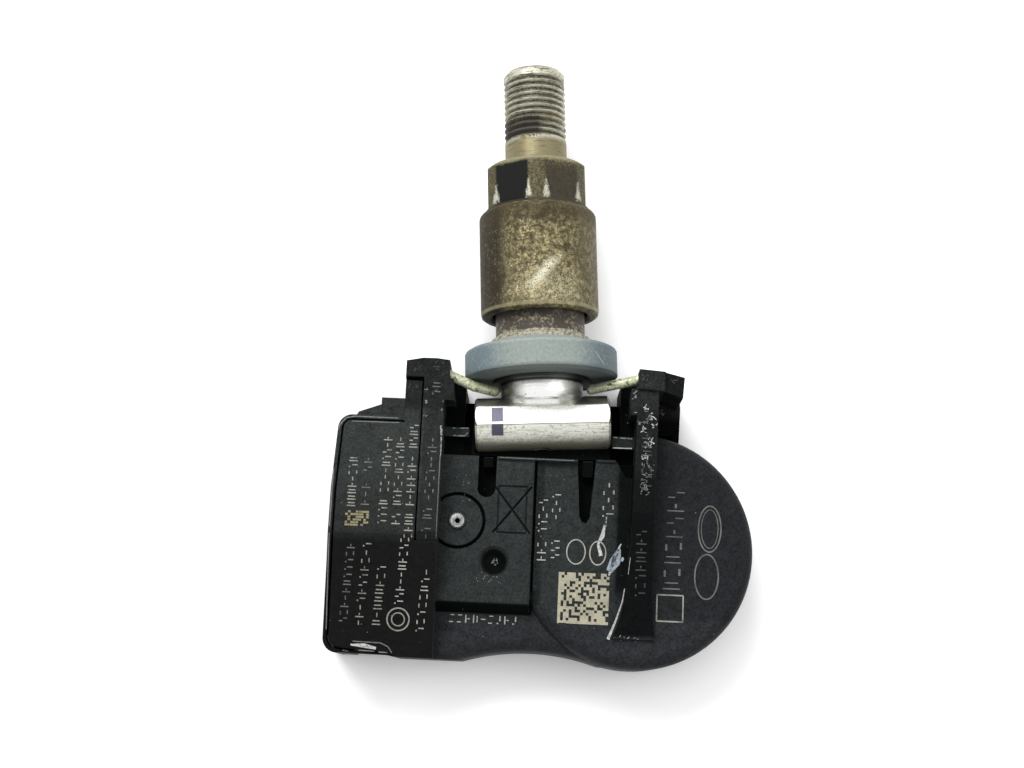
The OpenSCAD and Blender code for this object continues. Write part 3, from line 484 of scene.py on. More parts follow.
def nut_metal():
    s = Surface("nut_alloy")
    x, y, z = s.x, s.y, s.z
    speck = s.noise(s.place, 4.6, 6, 0.78, 0.5)
    tiny = s.noise(s.place, 9.0, 3, 0.7)
    cloud = s.noise(s.place, 0.32, 4, 0.6)
    swirl = s.noise(s.place, 1.7, 6, 0.75, 0.25)
    gold = (0.165, 0.135, 0.058)
    pale = (0.68, 0.60, 0.34)
    brown = (0.024, 0.018, 0.010)
    color = s.mix(s.step(speck, 0.44, 0.60), gold, pale)
    scratches = s.noise(s.vector("MULTIPLY", s.place, (0.5, 5.0, 0.5)), 1.0, 4, 0.7)
    color = s.tint(color, s.step(scratches, 0.54, 0.66), 0.45, (0.055, 0.044, 0.024))
    color = s.tint(color, s.step(cloud, 0.42, 0.60), 0.5, (0.065, 0.050, 0.024))
    dirt = s.step(s.weigh(speck, 0.45, swirl, 0.62), 0.50, 0.57)
    color = s.tint(color, dirt, 0.82, brown)
    left = s.step(s.wobble(x, swirl, 3.0), -3.6, -5.2)
    color = s.tint(color, left, s.step(speck, 0.62, 0.50, 0.55, 0.95), (0.024, 0.020, 0.013))
    top_line = s.wobble(y, swirl, 3.2)
    top = s.both(s.step(top_line, 12.2, 14.4), s.step(y, 16.05, 15.9))
    color = s.tint(color, top, 0.72, (0.050, 0.039, 0.023))
    right = s.step(s.wobble(x, speck, 4.0), 3.2, 5.6)
    color = s.tint(color, right, 0.55, (0.120, 0.105, 0.060))
    # worn bright patch low on the front
    along = s.math("ADD", x, s.math("MULTIPLY", s.math("SUBTRACT", y, 7.2), -0.8))
    worn = s.both(s.band(along, 0.0, 1.3, 0.6), s.band(y, 5.4, 8.6, 0.8), s.step(z, 4.0, 6.0))
    worn = s.both(worn, s.step(s.weigh(speck, 0.6, swirl, 0.4), 0.43, 0.51))
    color = s.tint(color, worn, 0.85, (0.82, 0.80, 0.62))
    low_gold = s.both(
        s.band(x, -2.6, 4.4, 1.2), s.band(y, 3.4, 7.2, 1.4), s.step(speck, 0.44, 0.56),
        s.step(z, 2.0, 4.0)
    )
    color = s.tint(color, low_gold, 0.5, (0.62, 0.57, 0.37))
    rim = s.band(y, 3.05, 3.45, 0.12)
    color = s.tint(color, rim, s.step(speck, 0.3, 0.55, 0.2, 0.7), (0.34, 0.31, 0.18))
    # the hexagon: one nearly black flat, one brown flat, bright worn hollows at the corners
    hexagon = s.step(y, 15.98, 16.1)
    hex_color = s.mix(s.step(speck, 0.42, 0.62), (0.034, 0.028, 0.014), (0.17, 0.150, 0.078))
    wobble_x = s.wobble(x, speck, 0.9)
    wobble_y = s.wobble(y, swirl, 2.4)
    black = s.both(
        s.band(wobble_x, -5.0, -1.1, 0.10), s.step(wobble_y, 21.6, 21.2), s.step(z, 1.0, 2.0)
    )
    hex_color = s.tint(
        hex_color, black, s.step(speck, 0.62, 0.75, 0.97, 0.7), (0.0100, 0.0105, 0.0110)
    )
    brown_line = s.wobble(y, speck, 4.0)
    dark_brown = s.both(
        s.band(x, 1.0, 4.9, 0.25), s.step(brown_line, 21.6, 20.2), s.step(z, 1.0, 2.0)
    )
    hex_color = s.tint(hex_color, dark_brown, 0.86, (0.038, 0.031, 0.022))
    lip = s.step(s.math("ADD", y, s.math("MULTIPLY", speck, 0.8)), 21.5, 22.0)
    hex_color = s.tint(hex_color, lip, 0.7, (0.36, 0.33, 0.20))
    drops = None
    for cx, width in ((-5.05, 0.40), (-1.12, 0.40), (1.05, 0.40), (4.95, 0.36)):
        shape = s.math("ABSOLUTE", s.math("SUBTRACT", x, cx))
        taper = s.step(wobble_y, 16.9, 18.4, width * 0.85, 0.06)
        ragged = s.wobble(shape, tiny, 1.1)
        one = s.both(
            s.step(s.math("SUBTRACT", ragged, taper), 0.08, -0.06),
            s.band(wobble_y, 16.6, 18.7, 0.25), s.step(z, 1.0, 2.0)
        )
        drops = one if drops is None else s.math("MAXIMUM", drops, one)
    hex_color = s.tint(hex_color, drops, s.step(speck, 0.36, 0.50, 0.25, 0.95), (0.56, 0.56, 0.45))
    neck_ring = s.band(y, 15.98, 16.42, 0.05)
    hex_color = s.tint(hex_color, neck_ring, 0.8, (0.05, 0.042, 0.028))
    color = s.mix(hexagon, color, hex_color)
    # painted shade: dark inside the bore
    inner = s.step(s.vector("LENGTH", s.join(x, 0.0, z)), 6.0, 5.8)
    color = s.mix(s.both(inner, s.step(y, 15.0, 14.0)), color, (0.030, 0.026, 0.018))
    s.set("Base Color", color)
    dull = s.math(
        "MAXIMUM", s.math("MAXIMUM", dirt, s.both(black, hexagon)), s.math("MAXIMUM", left, top)
    )
    s.set("Metallic", s.blend(dull, 0.5, 0.03))
    s.set("Specular IOR Level", s.blend(dull, 0.4, 0.07))
    s.set("Roughness", s.blend(speck, 0.42, 0.70))
    soft = s.rounded(0.12)
    height = s.weigh(speck, 0.8, tiny, 0.3)
    s.set("Normal", s.bump(height, 0.05, 0.7, soft))
    return s


# Grommet rubber


def grommet_rubber():
    s = Surface("grommet_rubber")
    x, y, z = s.x, s.y, s.z
    speck = s.noise(s.place, 2.6, 5, 0.65)
    cloud = s.noise(s.place, 0.35, 4, 0.6)
    rings = s.noise(s.vector("MULTIPLY", s.place, (0.25, 6.0, 0.25)), 1.0, 3, 0.5)
    middle = (0.265, 0.305, 0.280)
    side = (0.130, 0.180, 0.205)
    # painted highlight and painted shade: lighter in the middle of the round side, darker towards
    # both sides and most on the right
    across_shading = s.math("ABSOLUTE", s.wobble(x, cloud, 3.0))
    color = s.mix(s.step(across_shading, 3.0, 7.6), middle, side)
    color = s.tint(color, s.step(x, 4.5, 8.0), 0.55, (0.085, 0.115, 0.125))
    color = s.tint(color, s.step(speck, 0.5, 0.70), 0.45, (0.40, 0.44, 0.41))
    color = s.tint(color, s.step(speck, 0.48, 0.3), 0.45, (0.13, 0.155, 0.150))
    # painted shade along the grommet's lower edge
    color = s.tint(color, s.band(y, -5.2, -4.45, 0.2), 0.6, (0.10, 0.115, 0.110))
    lip = s.step(y, -0.6, -0.3)
    lip_color = s.mix(s.step(speck, 0.38, 0.6), (0.14, 0.125, 0.085), (0.44, 0.42, 0.32))
    color = s.mix(lip, color, lip_color)
    # sleeve between grommet and nut: brown, stained
    sleeve_line = s.wobble(y, cloud, 0.6)
    sleeve = s.step(sleeve_line, 0.38, 0.5)
    stain_level = s.weigh(speck, 0.6, s.noise(s.place, 0.9, 3, 0.6), 0.4)
    stain = s.mix(s.step(stain_level, 0.50, 0.62), (0.050, 0.040, 0.028), (0.30, 0.26, 0.175))
    stain = s.tint(stain, s.step(y, 1.6, 2.6), 0.6, (0.035, 0.028, 0.020))
    color = s.mix(sleeve, color, stain)
    # a light scratch on the right of the front
    slant = s.math(
        "ADD", s.math("SUBTRACT", x, 6.9), s.math("MULTIPLY", s.math("SUBTRACT", y, -3.55), 0.8)
    )
    scratch = s.both(
        s.band(slant, -0.09, 0.09, 0.05), s.band(y, -4.2, -2.9, 0.2), s.step(z, 2.0, 3.0)
    )
    color = s.tint(color, scratch, 0.45, (0.45, 0.51, 0.51))
    soft = s.rounded(0.1)
    color = s.tint(color, s.edge(soft), 0.3, (0.40, 0.45, 0.44))
    s.set("Base Color", color)
    s.set("Roughness", s.blend(speck, 0.5, 0.72))
    s.set("Specular IOR Level", 0.4)
    height = s.weigh(rings, 0.5, speck, 0.5)
    s.set("Normal", s.bump(height, 0.03, 0.6, soft))
    return s


# Clip wire: pale green plating, flaking


def clip_wire():
    s = Surface("clip_plated")
    speck = s.noise(s.place, 2.4, 5, 0.7)
    fine = s.noise(s.place, 7.0, 3, 0.6)
    color = s.mix(s.step(speck, 0.4, 0.6), (0.44, 0.46, 0.27), (0.72, 0.74, 0.54))
    chips = s.step(s.noise(s.place, 1.5, 5, 0.75), 0.53, 0.60)
    color = s.tint(color, chips, 0.9, (0.045, 0.042, 0.028))
    # painted shade: darker where the wire lies lower
    low_side_shade = s.step(s.z, 2.9, 1.9)
    color = s.tint(color, low_side_shade, 0.35, (0.10, 0.10, 0.06))
    s.set("Base Color", color)
    s.set("Metallic", 0.25)
    s.set("Roughness", s.blend(fine, 0.38, 0.6))
    s.set("Normal", s.bump(speck, 0.06, 0.6))
    return s


def eyelet_metal():
    """Bright worn ring around the port's channel, dull towards its outer edge, with painted shade
    making its centre near black.
    """
    s = Surface("eyelet_metal")
    x, y, _ = s.split(s.housing_place())
    out = s.vector("DISTANCE", s.join(x, y, 0.0), (PORT_X, PORT_Y, 0.0))
    speck = s.noise(s.place, 3.0, 4, 0.6)
    color = s.mix(s.step(speck, 0.35, 0.65), (0.42, 0.43, 0.43), (0.80, 0.81, 0.80))
    color = s.mix(s.step(out, 0.70, 0.85), color, (0.045, 0.048, 0.047))
    color = s.mix(s.step(out, 0.34, 0.26), color, (0.01, 0.01, 0.01))
    s.set("Base Color", color)
    s.set("Metallic", 0.8)
    s.set("Roughness", s.blend(speck, 0.3, 0.5))
    s.set("Normal", s.bump(speck, 0.02))
    return s


def set_material(node, surface):
    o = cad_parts[node]
    o.data.materials.clear()
    o.data.materials.append(surface.material)


body_plastic = housing_plastic("housing_plastic")
set_material("housing", body_plastic)
set_material("electronics_cover", housing_plastic("cover_plastic"))
set_material("back_cover", plain("back_plastic", (0.014, 0.014, 0.015), 0.5, 0.0, 0.35, 4.0, 0.02))
set_material("valve_stem", valve_metal())
set_material("collar_nut", nut_metal())
set_material("grommet", grommet_rubber())
set_material("spring_clip", clip_wire())
set_material("port_eyelet", eyelet_metal())
set_material("nut_washer", plain("washer_metal", (0.55, 0.54, 0.50), 0.35, 1.0, 0.5, 3.0, 0.01))
brass = plain("core_brass", (0.60, 0.44, 0.20), 0.33, 1.0, 0.5, 2.0, 0.01, 0.25, (1, 6, 1))
set_material("valve_core_body", brass)
set_material("valve_core_pin", brass)
set_material("valve_core_gasket", plain("core_seal", (0.50, 0.04, 0.03), 0.6))
set_material("valve_core_cup", plain("cup_rubber", (0.02, 0.02, 0.02), 0.65))
set_material("valve_core_spring", plain("spring_steel", (0.5, 0.5, 0.52), 0.3, 1.0))
set_material("circuit_board", plain("board_green", (0.02, 0.13, 0.055), 0.4, 0.0, 0.5, 1.5, 0.01))
set_material("sensor_chip", plain("chip_black", (0.02, 0.02, 0.021), 0.45))
set_material("port_seal", plain("seal_silicone", (0.5, 0.12, 0.07), 0.6))
set_material("lf_coil_core", plain("ferrite", (0.05, 0.05, 0.055), 0.5, 0.2))
set_material(
    "lf_coil_winding",
    plain("copper_wire", (0.6, 0.26, 0.11), 0.32, 1.0, 0.5, 1.0, 0.03, 0.2, (14, 1, 1))
)
set_material(
    "crystal", plain("can_metal", (0.62, 0.62, 0.6), 0.3, 1.0, 0.5, 2.0, 0.01, 0.15, (6, 1, 1))
)
set_material("capacitors", plain("ceramic", (0.36, 0.25, 0.15), 0.45))
set_material("antenna_loop", plain("antenna_brass", (0.65, 0.46, 0.22), 0.3, 1.0))
set_material(
    "coin_cell", plain("cell_steel", (0.62, 0.63, 0.65), 0.28, 1.0, 0.5, 1.5, 0.01, 0.12, (8, 1, 1))
)
tab = plain("tab_nickel", (0.64, 0.63, 0.6), 0.32, 1.0)
set_material("battery_tab_plus", tab)
set_material("battery_tab_minus", tab)


# Floor, light and background


def camera_or_mirror(tree, path):
    """1 for a ray from the camera, off a glossy surface or through glass."""
    seen = path.outputs["Is Camera Ray"]
    for kind in ("Is Glossy Ray", "Is Transmission Ray"):
        either = tree.nodes.new("ShaderNodeMath")
        either.operation = "MAXIMUM"
        tree.links.new(seen, either.inputs[0])
        tree.links.new(path.outputs[kind], either.inputs[1])
        seen = either.outputs[0]
    return seen


def build_floor():
    size = FLOOR_SIZE
    z = (BACK_Z - FLOOR_GAP) * MM
    mesh = bpy.data.meshes.new("floor")
    corners = [(-size, -size, z), (size, -size, z), (size, size, z), (-size, size, z)]
    mesh.from_pydata(corners, [], [(0, 1, 2, 3)])
    floor = bpy.data.objects.new("floor", mesh)
    scene.collection.objects.link(floor)
    m = bpy.data.materials.new("floor")
    m.use_nodes = True
    t = m.node_tree
    t.nodes.clear()
    out = t.nodes.new("ShaderNodeOutputMaterial")
    add = t.nodes.new("ShaderNodeAddShader")
    white = t.nodes.new("ShaderNodeBsdfDiffuse")
    white.inputs["Color"].default_value = FLOOR_COLOR
    glow = t.nodes.new("ShaderNodeEmission")
    glow.inputs["Color"].default_value = (1.0, 1.0, 1.0, 1.0)
    path = t.nodes.new("ShaderNodeLightPath")
    level = t.nodes.new("ShaderNodeMath")
    level.operation = "MULTIPLY"
    t.links.new(camera_or_mirror(t, path), level.inputs[0])
    # the glow fades where the part covers the floor, so that narrow gaps stay dark
    cover = t.nodes.new("ShaderNodeAmbientOcclusion")
    cover.samples = 8
    cover.inputs["Distance"].default_value = COVER_REACH * MM
    fade = t.nodes.new("ShaderNodeMapRange")
    fade.inputs["From Min"].default_value = COVERED
    fade.inputs["From Max"].default_value = OPEN
    fade.inputs["To Min"].default_value = 0.0
    fade.inputs["To Max"].default_value = FLOOR_GLOW
    t.links.new(cover.outputs["AO"], fade.inputs["Value"])
    t.links.new(fade.outputs[0], level.inputs[1])
    t.links.new(level.outputs[0], glow.inputs["Strength"])
    t.links.new(white.outputs[0], add.inputs[0])
    t.links.new(glow.outputs[0], add.inputs[1])
    t.links.new(add.outputs[0], out.inputs[0])
    mesh.materials.append(m)


build_floor()


def build_world():
    """White for the camera; as a light, brighter from behind the tip than from the front."""
    world = bpy.data.worlds.new("world")
    scene.world = world
    world.use_nodes = True
    t = world.node_tree
    t.nodes.clear()
    out = t.nodes.new("ShaderNodeOutputWorld")
    mix = t.nodes.new("ShaderNodeMixShader")
    coord = t.nodes.new("ShaderNodeTexCoord")
    parts = t.nodes.new("ShaderNodeSeparateXYZ")
    t.links.new(coord.outputs["Generated"], parts.inputs[0])
    level = t.nodes.new("ShaderNodeMapRange")
    level.interpolation_type = "SMOOTHSTEP"
    level.inputs["From Min"].default_value = -SKY_TURN
    level.inputs["From Max"].default_value = SKY_TURN
    level.inputs["To Min"].default_value = SKY_LOW
    level.inputs["To Max"].default_value = SKY_HIGH
    t.links.new(parts.outputs[1], level.inputs["Value"])
    soft = t.nodes.new("ShaderNodeBackground")
    soft.inputs["Color"].default_value = (1, 1, 1, 1)
    t.links.new(level.outputs[0], soft.inputs["Strength"])
    seen = t.nodes.new("ShaderNodeBackground")
    seen.inputs["Color"].default_value = (1, 1, 1, 1)
    seen.inputs["Strength"].default_value = 1.0
    path = t.nodes.new("ShaderNodeLightPath")
    t.links.new(camera_or_mirror(t, path), mix.inputs[0])
    t.links.new(soft.outputs[0], mix.inputs[1])
    t.links.new(seen.outputs[0], mix.inputs[2])
    t.links.new(mix.outputs[0], out.inputs[0])


build_world()


def lamp(name, place, size, power):
    """A white rectangular lamp that looks at the frame's origin, in metres and watts."""
    data = bpy.data.lights.new(name, "AREA")
    data.shape = "RECTANGLE"
    data.size = size[0]
    data.size_y = size[1]
    data.energy = power
    o = bpy.data.objects.new(name, data)
    scene.collection.objects.link(o)
    o.location = place
    o.rotation_euler = (-Vector(place)).to_track_quat("-Z", "Y").to_euler()


lamp("key", (-0.16, 0.36, 0.46), (0.34, 0.26), KEY_POWER)
lamp("fill", (0.45, -0.05, 0.5), (0.4, 0.4), FILL_POWER)

scene.view_settings.view_transform = "Standard"


# Marks and wear: thin pieces that lie on the surface below them


def surface_tree(nodes):
    made = bmesh.new()
    for name in nodes:
        made.from_mesh(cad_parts[name].data)
    tree = BVHTree.FromBMesh(made)
    made.free()
    return tree


housing_tree = surface_tree(["housing", "electronics_cover", "port_eyelet"])


def on_housing(x, y, lift=LIFT):
    """The point of the housing's front that is seen at x, y of the housing's frame."""
    p = row_point(x, y, 0.0) * MM
    hit = housing_tree.ray_cast(Vector((p.x, p.y, 0.03)), Vector((0, 0, -1)))
    z = hit[0].z if hit[0] is not None else 0.0
    return Vector((p.x, p.y, z + lift * MM))


def lies_flat(face):
    """False for a face that would hang over an edge or stand in a groove."""
    heights = [p.z for p in face]
    reach = max((p - face[0]).length for p in face)
    return max(heights) - min(heights) < 0.5 * reach + 0.02 * MM


def make_piece(name, faces, surface, body="sensor_housing"):
    mesh = bpy.data.meshes.new(name)
    points, index = [], []
    for face in filter(lies_flat, faces):
        index.append(tuple(range(len(points), len(points) + len(face))))
        points += face
    mesh.from_pydata(points, [], index)
    mesh.materials.append(surface.material)
    o = bpy.data.objects.new(name, mesh)
    scene.collection.objects.link(o)
    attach(o, body)
    return o


def quad(x0, x1, y0, y1):
    return [on_housing(x0, y0), on_housing(x1, y0), on_housing(x1, y1), on_housing(x0, y1)]


def etched(name, color, fade=0.35, rough=0.6):
    """Laser etched plastic: pale, uneven and rubbed away in places."""
    s = Surface(name)
    n = s.noise(s.place, 4.5, 4, 0.7)
    big = s.noise(s.place, 0.6, 3, 0.6)
    dark = (0.022, 0.023, 0.023)
    share = s.math(
        "MULTIPLY", s.step(n, 0.25, 0.55, 0.55, 1.0), s.step(big, 0.34, 0.58, 1.0 - fade, 1.0)
    )
    s.set("Base Color", s.mix(share, dark, color))
    s.set("Roughness", rough)
    s.set("Specular IOR Level", 0.3)
    return s


print_pale = etched("print_pale", (0.32, 0.32, 0.28), 0.5)
print_faint = etched("print_faint", (0.15, 0.15, 0.14), 0.5)
print_gold = etched("print_gold", (0.30, 0.26, 0.14), 0.4)
print_clear = etched("print_clear", (0.42, 0.41, 0.37), 0.3)
print_dark = etched("print_dark", (0.060, 0.062, 0.060), 0.6)
code_beige = etched("code_beige", (0.44, 0.41, 0.30), 0.2)


def cell_marks(rng, size):
    """Simple strokes of one cell, as (across0, across1, along0, along1) shares."""
    kind = rng.randrange(6)
    w = STROKE / size
    bar = (0.0, 1.0, 0.05, 0.05 + w)
    if kind == 0:
        return [bar, (0.44, 0.56, 0.32, 0.62)]
    if kind == 1:
        return [(0.0, 0.13, 0.0, 0.5), (0.87, 1.0, 0.12, 0.64)]
    if kind == 2:
        return [(0.0, 0.42, 0.1, 0.1 + w), (0.52, 1.0, 0.48, 0.48 + w)]
    if kind == 3:
        return [(0.44, 0.57, 0.05, 0.62)]
    if kind == 4:
        return [bar, (0.1, 0.9, 0.5, 0.5 + w)]
    return [(0.0, 0.16, 0.1, 0.3), (0.34, 1.0, 0.42, 0.42 + w)]


def dash_column(name, x_low, x_high, y_low, y_high, height, surface, seed, pitch=0.76, gaps=0.06):
    """A column of small plain strokes that runs upwards, in the housing's frame."""
    rng = random.Random(seed)
    faces = []
    count = int((y_high - y_low) / pitch)
    for i in range(count):
        if rng.random() < gaps:
            continue
        y = y_low + i * pitch
        share = i / max(1, count - 1)
        x = x_low + (x_high - x_low) * share
        for a0, a1, b0, b1 in cell_marks(rng, pitch):
            faces.append(
                quad(
                    x + height * (a0 - 0.5), x + height * (a1 - 0.5), y + pitch * b0, y + pitch * b1
                )
            )
    return make_piece(name, faces, surface)


def dash_row(name, x_low, x_high, y, height, surface, seed, pitch):
    rng = random.Random(seed)
    faces = []
    for i in range(int((x_high - x_low) / pitch)):
        x = x_low + i * pitch
        for a0, a1, b0, b1 in cell_marks(rng, pitch):
            faces.append(
                quad(
                    x + pitch * b0, x + pitch * b1, y + height * (a0 - 0.5), y + height * (a1 - 0.5)
                )
            )
    return make_piece(name, faces, surface)


dash_column("print_a", -22.13, -22.15, -11.6, -5.0, 1.02, print_pale, 3)
dash_column("print_b", -20.52, -20.41, -11.4, -4.9, 0.98, print_faint, 4, 1.0)
dash_column("print_c", -18.40, -18.22, -13.5, -2.5, 1.04, print_pale, 5)
dash_column("print_d", -16.77, -16.73, -13.5, -2.5, 1.0, print_pale, 6)
dash_column("print_e", -15.25, -15.2, -15.0, -1.2, 1.02, print_pale, 7)
dash_column("print_f", -13.16, -12.9, -15.0, -2.6, 1.05, print_faint, 8)
dash_column("print_g", -22.5, -21.9, -25.0, -15.6, 0.95, print_faint, 9, 0.85)
dash_column("print_h", -20.68, -19.98, -25.3, -15.4, 0.98, print_pale, 10, 0.9)
dash_column("print_i", -18.6, -18.18, -25.2, -17.4, 1.0, print_pale, 11, 0.9)
dash_column("print_j", -16.04, -15.6, -22.7, -14.5, 1.02, print_clear, 12, 0.8)
dash_column("print_k", -13.45, -12.92, -25.8, -17.6, 0.95, print_clear, 13, 0.95)
dash_column("print_l", -12.8, -12.8, 2.0, 4.1, 0.95, print_faint, 14, 0.95)
dash_column("print_m", 0.5, 0.5, -16.7, -8.35, 1.05, print_clear, 15, 0.85)
dash_column("print_n", 2.05, 2.05, -11.7, -7.5, 1.0, print_clear, 16, 0.85, 0.2)
dash_column("print_o", 2.12, 2.12, -16.4, -13.0, 1.0, print_clear, 17, 0.85)
dash_column("print_p", 8.25, 8.3, -11.2, -6.6, 1.35, print_clear, 18, 0.9, 0.0)
dash_column("print_q", 16.05, 16.45, -19.5, -4.2, 2.0, print_faint, 19, 1.55, 0.08)
dash_column("print_r", 12.25, 12.1, -20.6, -12.1, 1.2, print_dark, 20, 1.0, 0.1)
dash_column("print_s", 12.45, 12.35, -8.2, 1.3, 1.2, print_dark, 21, 1.0, 0.1)
dash_row("print_t", -10.15, -0.95, -23.85, 0.95, print_clear, 22, 0.93)


def gold_patch():
    rng = random.Random(40)
    columns, rows, pitch, filled = 9, 6, 0.31, 0.62
    faces = []
    for i in range(columns):
        for j in range(rows):
            if rng.random() < filled:
                x = -22.75 + i * pitch
                y = -13.85 + j * pitch
                faces.append(quad(x, x + 0.26 + 0.1 * rng.random(), y, y + 0.24))
    make_piece("print_patch", faces, print_gold)


gold_patch()


def coded_square():
    """A square of random cells, solid along its left and lower side."""
    rng = random.Random(77)
    count = 18
    x0, y0 = 2.66, -23.95
    side = 6.02
    cell = side / count
    empty = 0.42
    overlap = 0.01
    faces = []
    for j in range(count):
        i = 0
        while i < count:
            dark = rng.random() < empty
            solid = i == 0 or j == 0
            if dark and not solid:
                i += 1
                continue
            end = i + 1
            if solid and j == 0:
                end = count
            x_a = x0 + i * cell
            x_b = x0 + end * cell + overlap
            y_a = y0 + j * cell
            faces.append(quad(x_a, x_b, y_a, y_a + cell + overlap))
            i = end
    make_piece("coded_square", faces, code_beige)


coded_square()


def ring_strip(cx, cy, rx, ry, width, n=48, turn=0.0, start=0.0, end=360.0):
    faces = []
    c, s = math.cos(math.radians(turn)), math.sin(math.radians(turn))

    def at(a, grow):
        u = (rx + grow) * math.cos(a)
        v = (ry + grow) * math.sin(a)
        return on_housing(cx + u * c - v * s, cy + u * s + v * c)

    for i in range(n):
        a = math.radians(start + (end - start) * i / n)
        b = math.radians(start + (end - start) * (i + 1) / n)
        faces.append([at(a, -width / 2), at(a, width / 2), at(b, width / 2), at(b, -width / 2)])
    return faces


make_piece("emblem_ring", ring_strip(-16.04, -24.4, 1.3, 1.3, 0.16), print_pale)
make_piece("emblem_ring_inner", ring_strip(-16.04, -24.4, 0.75, 0.75, 0.14), print_pale)
make_piece(
    "badge_upper",
    ring_strip(20.45, -12.05, 1.35, 2.75, 0.17) + ring_strip(20.45, -12.05, 1.0, 2.3, 0.1),
    print_faint
)
make_piece("badge_lower", ring_strip(20.2, -17.75, 1.4, 2.65, 0.17), print_faint)
make_piece("mark_ring_left", ring_strip(4.6, -15.45, 1.1, 1.45, 0.14), print_clear)
make_piece("mark_ring_right", ring_strip(7.2, -15.5, 0.95, 1.4, 0.14), print_clear)


def stroke(points, widths, n=6):
    """A strip along points of the housing's frame, with a width at each point."""
    faces = []
    last = None
    for k in range(len(points) - 1):
        for i in range(n + (k == len(points) - 2)):
            t = i / n
            x = points[k][0] + (points[k + 1][0] - points[k][0]) * t
            y = points[k][1] + (points[k + 1][1] - points[k][1]) * t
            w = widths[k] + (widths[k + 1] - widths[k]) * t
            dx = points[k + 1][0] - points[k][0]
            dy = points[k + 1][1] - points[k][1]
            d = math.hypot(dx, dy) or 1.0
            side = (
                on_housing(x - dy / d * w / 2, y + dx / d * w / 2),
                on_housing(x + dy / d * w / 2, y - dx / d * w / 2)
            )
            if last is not None:
                faces.append([last[0], last[1], side[1], side[0]])
            last = side
    return faces


square_corners = [(14.4, -20.1), (17.5, -20.1), (17.5, -23.2), (14.4, -23.2), (14.4, -20.1)]
square_faces = []
for a, b in zip(square_corners, square_corners[1:]):
    square_faces += stroke([a, b], [0.17, 0.17])
make_piece("square_outline", square_faces, print_pale)

# Wear: scratches, a smear and frayed plastic along the edges, and pale lines that are partly
# painted highlights on edges


def worn_white(name, color, cut):
    s = Surface(name)
    n = s.noise(s.place, 3.2, 4, 0.7)
    s.set("Base Color", s.mix(s.step(n, 0.3, 0.6), tuple(c * 0.45 for c in color), color))
    s.set("Alpha", s.step(s.noise(s.place, 2.4, 4, 0.75), cut, cut + 0.06))
    s.set("Roughness", 0.5)
    s.set("Specular IOR Level", 0.3)
    return s


scratch_white = worn_white("scratch_white", (0.62, 0.63, 0.60), 0.36)
smear_blue = worn_white("smear_blue", (0.38, 0.45, 0.52), 0.30)
edge_grey = worn_white("edge_grey", (0.20, 0.205, 0.20), 0.30)
edge_light = worn_white("edge_light", (0.36, 0.37, 0.35), 0.44)

make_piece("scratch_long", stroke(
    [(10.92, -16.08), (10.75, -18.05), (10.3, -21.08), (9.6, -23.36), (8.75, -25.6)],
    [0.05, 0.06, 0.14, 0.22, 0.36]), scratch_white)
make_piece(
    "smear_edge", stroke([(9.93, -14.28), (9.2, -16.0), (8.62, -18.1)], [0.12, 0.55, 0.2]),
    scratch_white
)
make_piece(
    "smear", stroke([(9.75, -14.9), (9.3, -16.4), (8.6, -17.6)], [0.4, 1.3, 0.7]), smear_blue
)
make_piece(
    "scratch_upper",
    stroke([(7.9, -12.1), (7.7, -13.4), (7.2, -14.4), (7.6, -15.8)], [0.22, 0.5, 0.3, 0.45]),
    scratch_white
)
make_piece("scratch_top", stroke([(8.1, -11.1), (8.02, -12.3)], [0.12, 0.2]), edge_light)
make_piece("scratch_spot", stroke([(10.05, -16.3), (10.25, -15.9)], [0.35, 0.3]), scratch_white)


def flecks(name, spots, surface, seed, spread=0.35, many=5, length=0.5):
    """Short frayed strokes scattered around each spot of the housing's frame."""
    rng = random.Random(seed)
    faces = []
    for x, y in spots:
        for _ in range(many):
            cx = x + rng.uniform(-spread, spread)
            cy = y + rng.uniform(-spread, spread)
            a = rng.uniform(0.0, math.pi)
            r = length * rng.uniform(0.3, 1.0) / 2
            w = rng.uniform(0.05, 0.13)
            ends = [
                (cx - r * math.cos(a), cy - r * math.sin(a)),
                (cx + r * math.cos(a), cy + r * math.sin(a))
            ]
            faces += stroke(ends, [w, w * 0.6], 1)
    return make_piece(name, faces, surface)


flecks("frayed_rail", [
    (12.25, 1.43), (12.9, 0.6), (13.2, -0.44), (11.8, -1.11), (12.9, -2.24), (12.5, -2.8),
    (12.17, -4.19)
], scratch_white, 61, 0.4, 7)
flecks(
    "frayed_rail_soft", [(12.3, -5.2), (12.5, -6.3), (12.1, -7.4), (12.3, -8.3), (12.2, 0.2)],
    edge_grey, 62, 0.5, 8
)
flecks("frayed_gap", [
    (10.65, 3.35), (10.6, 2.7), (10.6, 0.88), (11.4, -0.2), (14.1, 3.5), (14.8, 2.5), (14.0, 0.3)
], edge_light, 63, 0.3, 6)
flecks(
    "frayed_left", [(-11.95, 1.25), (-11.95, 0.3), (-14.0, 2.6), (-14.0, 1.2), (-13.95, -0.4)],
    edge_light, 64, 0.14, 7, 0.35
)
flecks(
    "rail_end", [(9.6, -25.4), (10.4, -25.42), (11.2, -25.42), (12.0, -25.42)], edge_light, 65, 0.3,
    5, 0.2
)
flecks(
    "ear_left", [(-15.6, 3.0), (-12.6, 2.9), (-12.7, 5.6), (-12.3, 4.9), (-14.9, 5.5)], print_dark,
    66, 0.6, 5, 0.5
)
flecks("ear_right", [(11.9, 5.2), (12.1, 4.6), (15.4, 4.9)], print_dark, 67, 0.4, 5, 0.4)
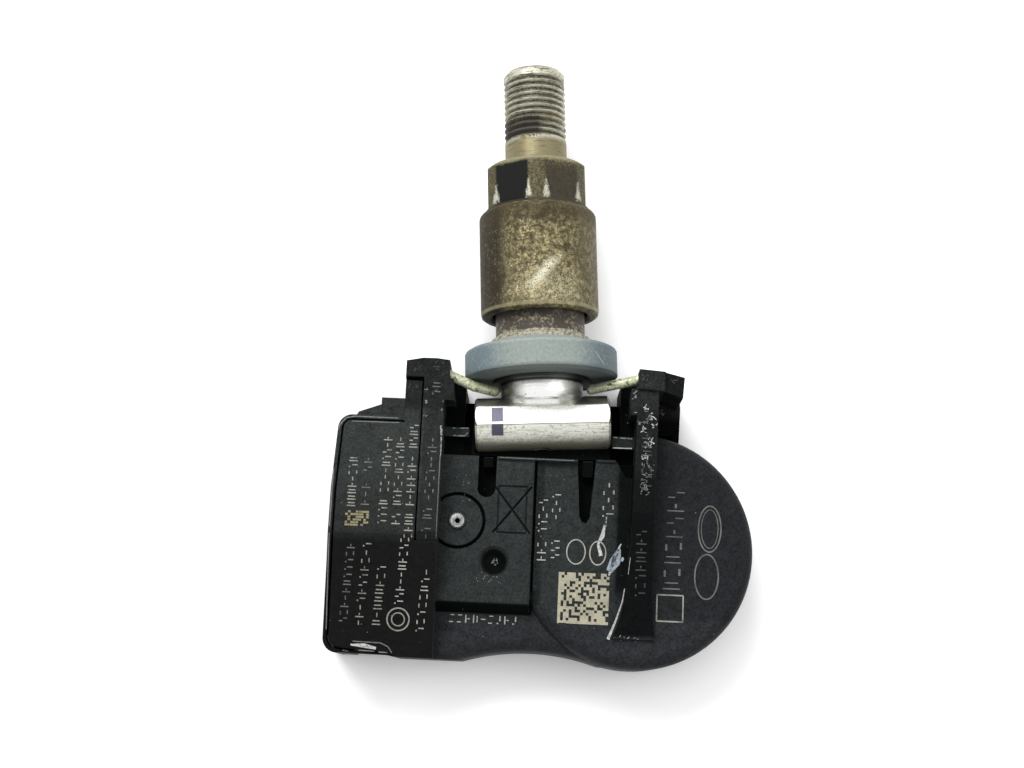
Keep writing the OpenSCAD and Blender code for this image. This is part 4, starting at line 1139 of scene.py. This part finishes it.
flecks(
    "plateau_bits",
    [(-9.3, -7.6), (-8.4, -9.9), (-5.2, -19.3), (-4.8, -19.0), (-6.3, -18.7), (0.4, -13.5)],
    edge_grey, 68, 0.8, 5, 0.2
)
# partly painted highlight along the block's right edge, partly wear
make_piece(
    "seam_sheen_and_wear",
    stroke([(-12.01, -1.6), (-11.93, -2.6), (-11.9, -3.6), (-11.9, -5.2)], [0.26, 0.22, 0.14, 0.1]),
    edge_light
)
make_piece("seam_sheen_and_wear_low", stroke([(-11.95, -5.2), (-11.95, -14.9)], [0.08, 0.05], 14), edge_grey)
make_piece(
    "peg_left_line", stroke([(-11.1, -2.02), (-9.4, -2.0), (-8.95, -1.6)], [0.14, 0.16, 0.12]),
    edge_light
)
make_piece("peg_left_top", stroke([(-10.9, -1.1), (-9.0, -1.05)], [0.1, 0.14]), edge_light)
make_piece("peg_right_top", stroke([(8.6, -1.42), (10.9, -1.5)], [0.14, 0.12]), edge_light)
make_piece("peg_right_low", stroke([(8.6, -2.7), (10.9, -2.68)], [0.12, 0.14]), scratch_white)
# painted highlight along the ridge's top
make_piece("ridge_line", stroke([(-4.9, -4.62), (4.0, -4.62)], [0.06, 0.07], 16), edge_grey)


def rim_line(name, points, width):
    return make_piece(name, stroke(points, [width] * len(points), 8), edge_grey)


# thin pale lines along the rim's chamfered edge: partly painted highlight, partly wear
rim_line("rim_left", [(-24.55, -9.5), (-24.55, -18.0), (-24.5, -25.9)], 0.13)
rim_line(
    "rim_corner_top", [(-24.55, -9.5), (-24.4, -3.2), (-24.1, -1.9), (-23.4, -1.0), (-22.4, -0.78)],
    0.13
)
rim_line("rim_top", [(-22.4, -0.78), (-17.2, -0.78)], 0.11)
rim_line("rim_top_inner", [(-22.6, -1.45), (-17.0, -1.4)], 0.09)
rim_line(
    "rim_corner_low",
    [(-24.5, -25.9), (-24.25, -27.2), (-23.6, -27.95), (-22.9, -28.2), (-21.8, -28.3)], 0.13
)
rim_line("rim_low", [(-21.3, -27.15), (-18.0, -27.2), (-17.1, -27.6), (-16.6, -28.3)], 0.12)

flecks("gate_rough", [(-5.1, -17.1), (-5.0, -16.9)], edge_grey, 69, 0.35, 7, 0.3)
# a pale strip painted on the lower rim as the lit floor seen through a gap there
make_piece(
    "rim_gap_white", stroke([(-21.5, -27.55), (-19.9, -27.6), (-18.5, -27.85)], [0.2, 0.5, 0.3]),
    scratch_white
)
